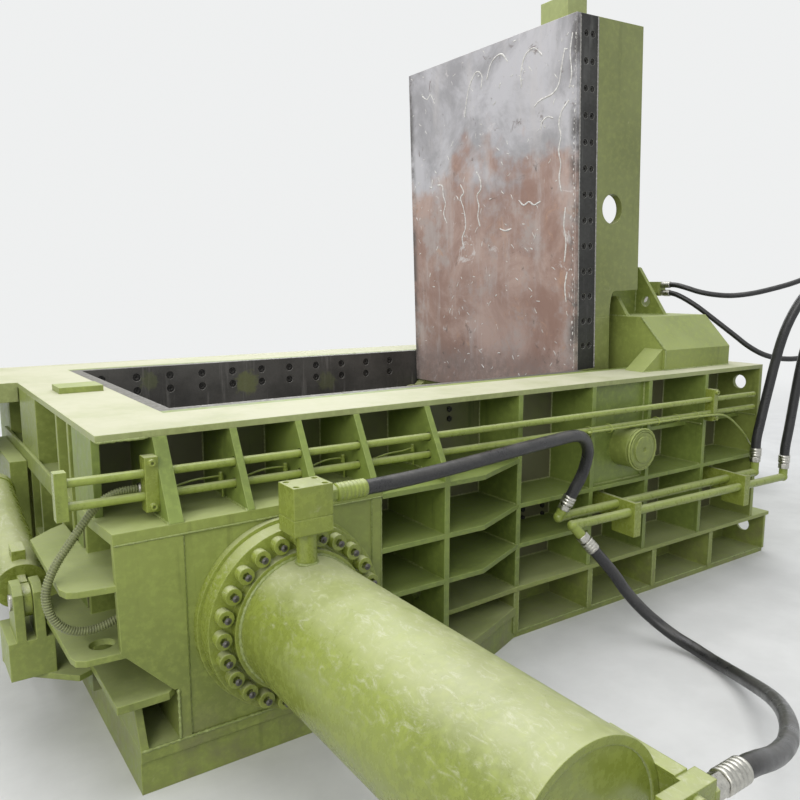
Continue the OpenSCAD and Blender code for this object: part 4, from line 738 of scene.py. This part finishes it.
def box_loop(m, bay, seeds, mirrored=False):
    """Beads round the back of one bay."""
    x0, x1, z0, z1 = bay
    corners = [at(x, WALL_FACE, z) for (x, z) in ((x0, z0), (x1, z0), (x1, z1), (x0, z1))]
    if mirrored:
        corners = [far(c) for c in corners]
    for k in range(4):
        bead(m, corners[k], corners[(k + 1) % 4], BAY_BEAD, seeds[k])

bay_welds = Mesh()
for bay in BAYS:
    box_loop(bay_welds, bay, (1, 2, 3, 4))
for bay in FAR_BAYS:
    box_loop(bay_welds, bay, (22, 22, 22, 22), mirrored=True)

welds = Mesh()
# shelf to rib, along the depth of the bays
for (x0, x1, z0, z1) in BAYS:
    for x in (x0, x1):
        bead(welds, at(x, 8, z0), at(x, 255, z0), 0.0050, 5)
# panel of the hinge boss
for x in (2225 + HALF_RIB, 2635 - HALF_RIB):
    bead(welds, at(x, PANEL_FACE, 634), at(x, PANEL_FACE, 1116), 0.0058, 6)
for z in (633, 1117):
    bead(welds, at(2239, PANEL_FACE, z), at(2621, PANEL_FACE, z), 0.0058, 7)
# ribs and ledge of the base
for x in (1759, 2245, 2733, 3228):
    for dx in (-HALF_RIB, HALF_RIB):
        bead(welds, at(x + dx, 3, BASE_TOP), at(x + dx, 3, 228), 0.0048, 8)
for (x0, x1) in ((1772, 2232), (2258, 2720), (2746, 3215), (3241, 3755)):
    bead(welds, at(x0, 12, BASE_TOP - 1), at(x1, 12, BASE_TOP - 1), 0.0050, 9)
# rib fronts up to the flange and down to the shelves
for x in (1250, 1758, 2225, 2635, 3102):
    for dx in (-HALF_RIB, HALF_RIB):
        bead(welds, at(x + dx, 4, FLANGE_LOW), at(x + dx, 250, FLANGE_LOW), 0.0050, 10)
for (x, thickness) in ((195, 46), (442, 25), (685, 25), (925, 25)):
    for dx in (-thickness / 2, thickness / 2):
        bead(welds, at(x + dx, -134, SHELF_TOP), at(x + dx, 20, SHELF_TOP), 0.0055, 11)
        bead(welds, at(x + dx, 3, FLANGE_LOW), at(x + dx, 250, FLANGE_LOW), 0.0050, 12)
# housing of the side ram, then the flange's underside at the left: ends, radius and seed of each bead
for (a, b, r, seed) in (
        ((4, -138.5, 831), (949, -138.5, 831), 0.0032, 13),
        ((176, -138.5, 155), (176, -138.5, 326), 0.0055, 14),
        ((944, -137, 155), (944, -137, 830), 0.0035, 15),
        ((213, -131.8, 153), (213, -131.8, 829), 0.0052, 16),
        ((907, -131.8, 153), (907, -131.8, 829), 0.0052, 17),
        ((52, -137, 151.5), (1238, -137, 151.5), 0.0050, 18),
        ((2, 1, FLANGE_LOW), (160, 1, FLANGE_LOW), 0.0045, 19)):
    bead(welds, at(*a), at(*b), r, seed)
# brace on the flange, alike on both sides
BRACE_TOP = 1416.5
BRACE_WELDS = (
    ((2900, 120, FLANGE_TOP), (3475, 120, FLANGE_TOP)),
    ((2900, 121, 1141), (2900, 342, 1141)), ((3475, 121, 1141), (3475, 342, 1141)),
    ((2905, 385, BRACE_TOP), (2905, 589, BRACE_TOP)), ((2930, 385, BRACE_TOP), (2930, 589, BRACE_TOP)),
    ((3225, 380, BRACE_TOP), (3225, 589, BRACE_TOP)), ((3250, 380, BRACE_TOP), (3250, 589, BRACE_TOP)),
    ((2899.5, 120, 1142), (2899.5, 120, 1245)), ((2899.5, 121, 1247), (2899.5, 285, 1415)),
    ((2740, 134.5, FLANGE_TOP), (2900, 134.5, FLANGE_TOP)),
    ((2930, 589.5, 1417), (2930, 589.5, 1523)), ((3225, 589.5, 1417), (3225, 589.5, 1685)))
for (a, b) in BRACE_WELDS:
    bead(welds, at(*a), at(*b), 0.0055, 20)
    bead(welds, far(at(*a)), far(at(*b)), 0.0055, 21)
welds.make("frame_welds", WELD, "frame", "olive_paint")
bay_welds.make("bay_welds", WELD_PALE, "frame", "olive_paint")

# Welds and bolt sockets of the side cylinder
CYLINDER_X = 560
CYLINDER_Z = 503
BOLTS = 24
BOLT_CIRCLE = 274.5     # radius on which the bolts lie
SOCKET_Y = -276.4       # bottom of their sockets
cyl_welds = Mesh()
ring_bead(cyl_welds, at(CYLINDER_X, -260.5, CYLINDER_Z), ACROSS, 0.2205, 0.0075, 2)
ring_bead(cyl_welds, at(CYLINDER_X, -1474.5, CYLINDER_Z), ACROSS, 0.2015, 0.0042, 3)
ring_bead(cyl_welds, at(550, -311, 723), UP, 0.034, 0.0050, 4)
cyl_welds.make("cylinder_welds", WELD, "frame", "lime_paint")

sockets = Mesh()
SOCKET = [(0, 0.0114), (0.0006, 0.0114), (0.0010, 0.0106), (0.0004, 0.0060), (0.0002, 0.0020)]
for i in range(BOLTS):
    t = 2 * math.pi * i / BOLTS
    centre = at(CYLINDER_X + BOLT_CIRCLE * math.cos(t), SOCKET_Y, CYLINDER_Z + BOLT_CIRCLE * math.sin(t))
    lathe(sockets, centre, -ACROSS, SOCKET, 24)
sockets.make("socket_bottoms", BLACK, "frame", "dark_bolts")

# Welds and marks of the lid, in millimetres on the lid itself
LID_NEAR = 402          # the lid's two sides
LID_FAR = 1838
SIDE_WELD = 206.5       # how far back the long weld on each side lies
FACE_WELD = 79          # the same for the weld beside the wear plate
WEAR_FACE = 51.4        # just off its wear face
lid_welds = Mesh()
for a in (735, 1290, 1700):
    for y in (LID_NEAR + 38, LID_FAR - 38):
        bead(lid_welds, on_lid(210, y, a + 25.5), on_lid(553, y, a + 25.5), 0.0055, 30)
for (y, seed) in ((LID_NEAR - 0.4, 32), (LID_FAR + 0.4, 33)):
    bead(lid_welds, on_lid(SIDE_WELD, y, 332), on_lid(SIDE_WELD, y, 2104), 0.0042, seed)
for y in (LID_NEAR, LID_FAR):
    bead(lid_welds, on_lid(FACE_WELD, y, 612), on_lid(FACE_WELD, y, 2100), 0.0040, 34)
lid_welds.make("lid_welds", WELD_BARE, "lid", "olive_paint")

marks = Mesh()
def stroke(points, w=0.0058):
    """Thin white line on the lid's wear face, through points given as (across, along)."""
    line = smooth_line([on_lid(WEAR_FACE, y, a) for (y, a) in points], 0.006)
    radii = [w * (0.75 + 0.5 * noise.noise(p * 60)) for p in line]
    radii[0] *= 0.35
    radii[-1] *= 0.35
    sweep(marks, line, radii, 6, flat=0.20, up=ALONG)

STROKES = [
    [(640, 1960), (700, 2010), (770, 1985), (800, 1900), (795, 1830)],
    [(900, 1985), (960, 2040), (1040, 2010), (1080, 1930)],
    [(1130, 1890), (1120, 1960), (1170, 1990), (1230, 1930), (1260, 1850), (1280, 1760)],
    [(480, 1960), (500, 1890), (520, 1800), (560, 1760), (600, 1750), (660, 1740), (700, 1715)],
    [(450, 1705), (500, 1660), (520, 1600), (505, 1540), (520, 1470), (505, 1400), (515, 1330), (500, 1260)],
    [(560, 1635), (600, 1650), (640, 1630), (650, 1590)],
    [(1180, 1440), (1150, 1400), (1140, 1340), (1175, 1300), (1160, 1240), (1170, 1180), (1150, 1120)],
    [(1330, 1380), (1300, 1330), (1330, 1300), (1300, 1230), (1285, 1130), (1320, 1060), (1300, 1000)],
    [(1560, 1400), (1510, 1390), (1500, 1330), (1480, 1280), (1500, 1220), (1470, 1160)],
    [(820, 1245), (780, 1215), (740, 1230), (700, 1210), (650, 1225)],
    [(980, 1100), (930, 1085), (880, 1095)],
    [(1610, 1440), (1620, 1390), (1640, 1400)],
    [(470, 1180), (480, 1090), (465, 1000), (475, 900)],
    [(455, 850), (470, 770), (460, 690)],
    [(1700, 1960), (1650, 1930), (1610, 1950), (1570, 1890)],
    [(430, 2020), (445, 1930), (435, 1830), (450, 1760)],
]
SCRATCHES = 170
SPATTER = 60
draws = random.Random(11)
for points in STROKES:
    stroke(points)
for k in range(SCRATCHES):
    y = draws.uniform(420, 1800)
    a = draws.uniform(250, 2080)
    y2 = y + draws.uniform(-30, 30)
    a2 = a + draws.uniform(-34, 34)
    bend = draws.uniform(-6, 6)
    stroke([(y, a), ((y + y2) / 2 + bend, (a + a2) / 2), (y2, a2)], draws.uniform(0.0022, 0.0042))
# weld line and spatter along the wear plate's edge beside the blade
for k in range(SPATTER):
    a = 180 + k * 31 + draws.uniform(-9, 9)
    y = draws.uniform(406, 424)
    end = (y + draws.uniform(-5, 5), a + draws.uniform(8, 20))
    stroke([(y, a), end], draws.uniform(0.0028, 0.0052))
marks.make("lid_marks", CHALK, "lid", "rusty_steel")

# Rings round the hinge bosses on both sides
boss = Mesh()
for side in (0, 1):
    for (y, radius, r) in ((-89, 0.0985, 0.0055), (-94.5, 0.0900, 0.0030), (-98.5, 0.0520, 0.0030)):
        c = at(HINGE_X, y, HINGE_Z)
        ring_bead(boss, far(c) if side else c, ACROSS, radius, r, side + 5)
boss.make("boss_rings", OLIVE, "frame", "olive_paint")

# Lubrication line with its clips, and its branches
LUBE = route([
    (2130, -52, 920), (2300, -52, 918), (2475, -52, 917), (2700, -52, 916), (2900, -53, 914),
    (3040, -60, 911), (3140, -61, 906), (3200, -57, 892), (3260, -50, 868), (3330, -42, 830),
    (3400, -32, 788), (3470, -18, 742), (3530, -2, 703), (3570, 8, 682), (3598, 11, 676)])
CLIPS = ((2150, 925), (2290, 923), (2640, 921), (2800, 920), (2960, 918))
BRANCHES = (((251, 936), (410, 946)), ((506, 937), (652, 944)), ((766, 937), (890, 944)),
            ((1030, 927), (1210, 945)))

def clip(m, x, z):
    """Oval wire round the line."""
    loop = []
    for k in range(16):
        t = k * math.pi / 8
        loop.append(at(x + 0.01 * k, -34 + 24 * math.cos(t), z - 3 + 21 * math.sin(t)))
    sweep(m, loop, 0.0022, 6, closed=True)

def branch(m, start, end):
    """Thin line between two places on the wall, with a fitting at its end."""
    xa, za = start
    xb, zb = end
    span = xb - xa
    points = route([(xa - 34, 44, za - 6), (xa, 42, za), (xa + span * 0.35, 38, za + 12),
                    (xa + span * 0.7, 38, za + 14), (xb, 40, zb), (xb + 3, 40, zb - 30),
                    (xb + 3, 40, zb - 70)])
    sweep(m, smooth_line(points, 0.01), 0.0035, 8)
    fitting = [(0, 0.004), (0, 0.009), (0.016, 0.009), (0.018, 0.0075), (0.026, 0.0075), (0.029, 0.005),
               (0.029, 0.002)]
    lathe(m, at(xb - 2, 40, zb - 12), UP, fitting, 18, False, hexes=(1, 2))

lube = Mesh()
sweep(lube, smooth_line(LUBE, 0.02), 0.006, 10)
for (x, z) in CLIPS:
    clip(lube, x, z)
lube.make("lube_tube", TUBE, "frame", "lime_paint", ("lube_line",))
branches = Mesh()
for (start, end) in BRANCHES:
    branch(branches, start, end)
branches.make("lube_branches", TUBE, "frame", "lime_paint")

# Small bolts that show through the walls
ends = Mesh()
NUT = [(0, 0.014), (0.006, 0.014), (0.008, 0.0125), (0.008, 0.007), (0.012, 0.0065), (0.012, 0.002)]
WALL_BOLTS = ((2033, 494), (2033, 451), (2166, 494), (2166, 451), (1567, 1040), (1567, 996))
for (x, z) in WALL_BOLTS:
    c = at(x, WALL_FACE + 0.5, z)
    lathe(ends, c, -ACROSS, NUT, 24, False, hexes=(0, 1, 2))
    lathe(ends, far(c), ACROSS, NUT, 24, False, hexes=(0, 1, 2))
ends.make("wall_bolt_ends", BLACK, "frame", "dark_bolts")

# Floor, backdrop and light
BACKDROP = (0.86, 0.87, 0.87, 1.0)
FLOOR_HALF = 30         # metres

def any_of(nt, *sockets):
    """Largest of some sockets."""
    out = sockets[0]
    for other in sockets[1:]:
        n = nt.nodes.new("ShaderNodeMath")
        n.operation = "MAXIMUM"
        nt.links.new(out, n.inputs[0])
        nt.links.new(other, n.inputs[1])
        out = n.outputs[0]
    return out

def direct_look(nt):
    """1 for what the camera sees, itself or in a mirror, and 0 for light that bounces."""
    path = nt.nodes.new("ShaderNodeLightPath")
    return any_of(nt, path.outputs["Is Camera Ray"], path.outputs["Is Glossy Ray"],
                  path.outputs["Is Transmission Ray"])

def floor_material():
    """Pale floor that keeps the shadow near the object and joins the backdrop far from it."""
    m = Mat("pale_floor")
    fine = m.noise(3.0, 8, 0.6)
    direct = direct_look(m.nt)
    pale = m.mix(m.band(fine, 0.3, 0.7), (0.66, 0.66, 0.65), (0.74, 0.74, 0.73))
    m.finish(m.mix(direct, (0.36, 0.36, 0.35), pale), 0.75)
    away = m.nt.nodes.new("ShaderNodeVectorMath")
    away.operation = "LENGTH"
    m.put(away.inputs[0], m.co)
    glow = m.nt.nodes.new("ShaderNodeEmission")
    glow.inputs["Color"].default_value = BACKDROP
    join = m.nt.nodes.new("ShaderNodeMixShader")
    m.put(join.inputs[0], m.math("MULTIPLY", m.band(away.outputs["Value"], 3.5, 11.0), direct))
    m.nt.links.new(m.bsdf.outputs[0], join.inputs[1])
    m.nt.links.new(glow.outputs[0], join.inputs[2])
    target = next(n for n in m.nt.nodes if n.type == "OUTPUT_MATERIAL")
    m.nt.links.new(join.outputs[0], target.inputs["Surface"])
    return m.mat

me = bpy.data.meshes.new("floor")
me.from_pydata([(-FLOOR_HALF, -FLOOR_HALF, 0), (FLOOR_HALF, -FLOOR_HALF, 0), (FLOOR_HALF, FLOOR_HALF, 0),
                (-FLOOR_HALF, FLOOR_HALF, 0)], [], [(0, 1, 2, 3)])
floor = bpy.data.objects.new("floor", me)
bpy.context.scene.collection.objects.link(floor)
me.materials.append(floor_material())

world = bpy.data.worlds.new("studio")
bpy.context.scene.world = world
world.use_nodes = True
nt = world.node_tree
nt.nodes.clear()
out = nt.nodes.new("ShaderNodeOutputWorld")
light = nt.nodes.new("ShaderNodeBackground")
light.inputs["Color"].default_value = (0.93, 0.96, 1.0, 1.0)
light.inputs["Strength"].default_value = 0.60
plain = nt.nodes.new("ShaderNodeBackground")
plain.inputs["Color"].default_value = BACKDROP
plain.inputs["Strength"].default_value = 1.0
blend = nt.nodes.new("ShaderNodeMixShader")
nt.links.new(direct_look(nt), blend.inputs[0])
nt.links.new(light.outputs[0], blend.inputs[1])
nt.links.new(plain.outputs[0], blend.inputs[2])
nt.links.new(blend.outputs[0], out.inputs["Surface"])

def area(name, place, target, size, power, colour=(1, 1, 1)):
    """Rectangular light that points at a target."""
    data = bpy.data.lights.new(name, "AREA")
    data.shape = "RECTANGLE"
    data.size, data.size_y = size
    data.energy = power
    data.color = colour
    ob = bpy.data.objects.new(name, data)
    ob.location = place
    ob.rotation_euler = (Vector(target) - Vector(place)).to_track_quat("-Z", "Y").to_euler()
    bpy.context.scene.collection.objects.link(ob)

area("roof_light", (-0.5, 0.5, 7.5), (0, 0, 0), (9, 7), 470)
area("left_light", (-7.0, -5.5, 4.6), (0, -0.5, 0.7), (5, 4), 300, (1.0, 0.98, 0.95))
area("rear_light", (3.5, 7.0, 4.8), (0.5, 0, 1.0), (5, 4), 160, (0.95, 0.98, 1.0))

scene = bpy.context.scene
scene.view_settings.view_transform = "Standard"
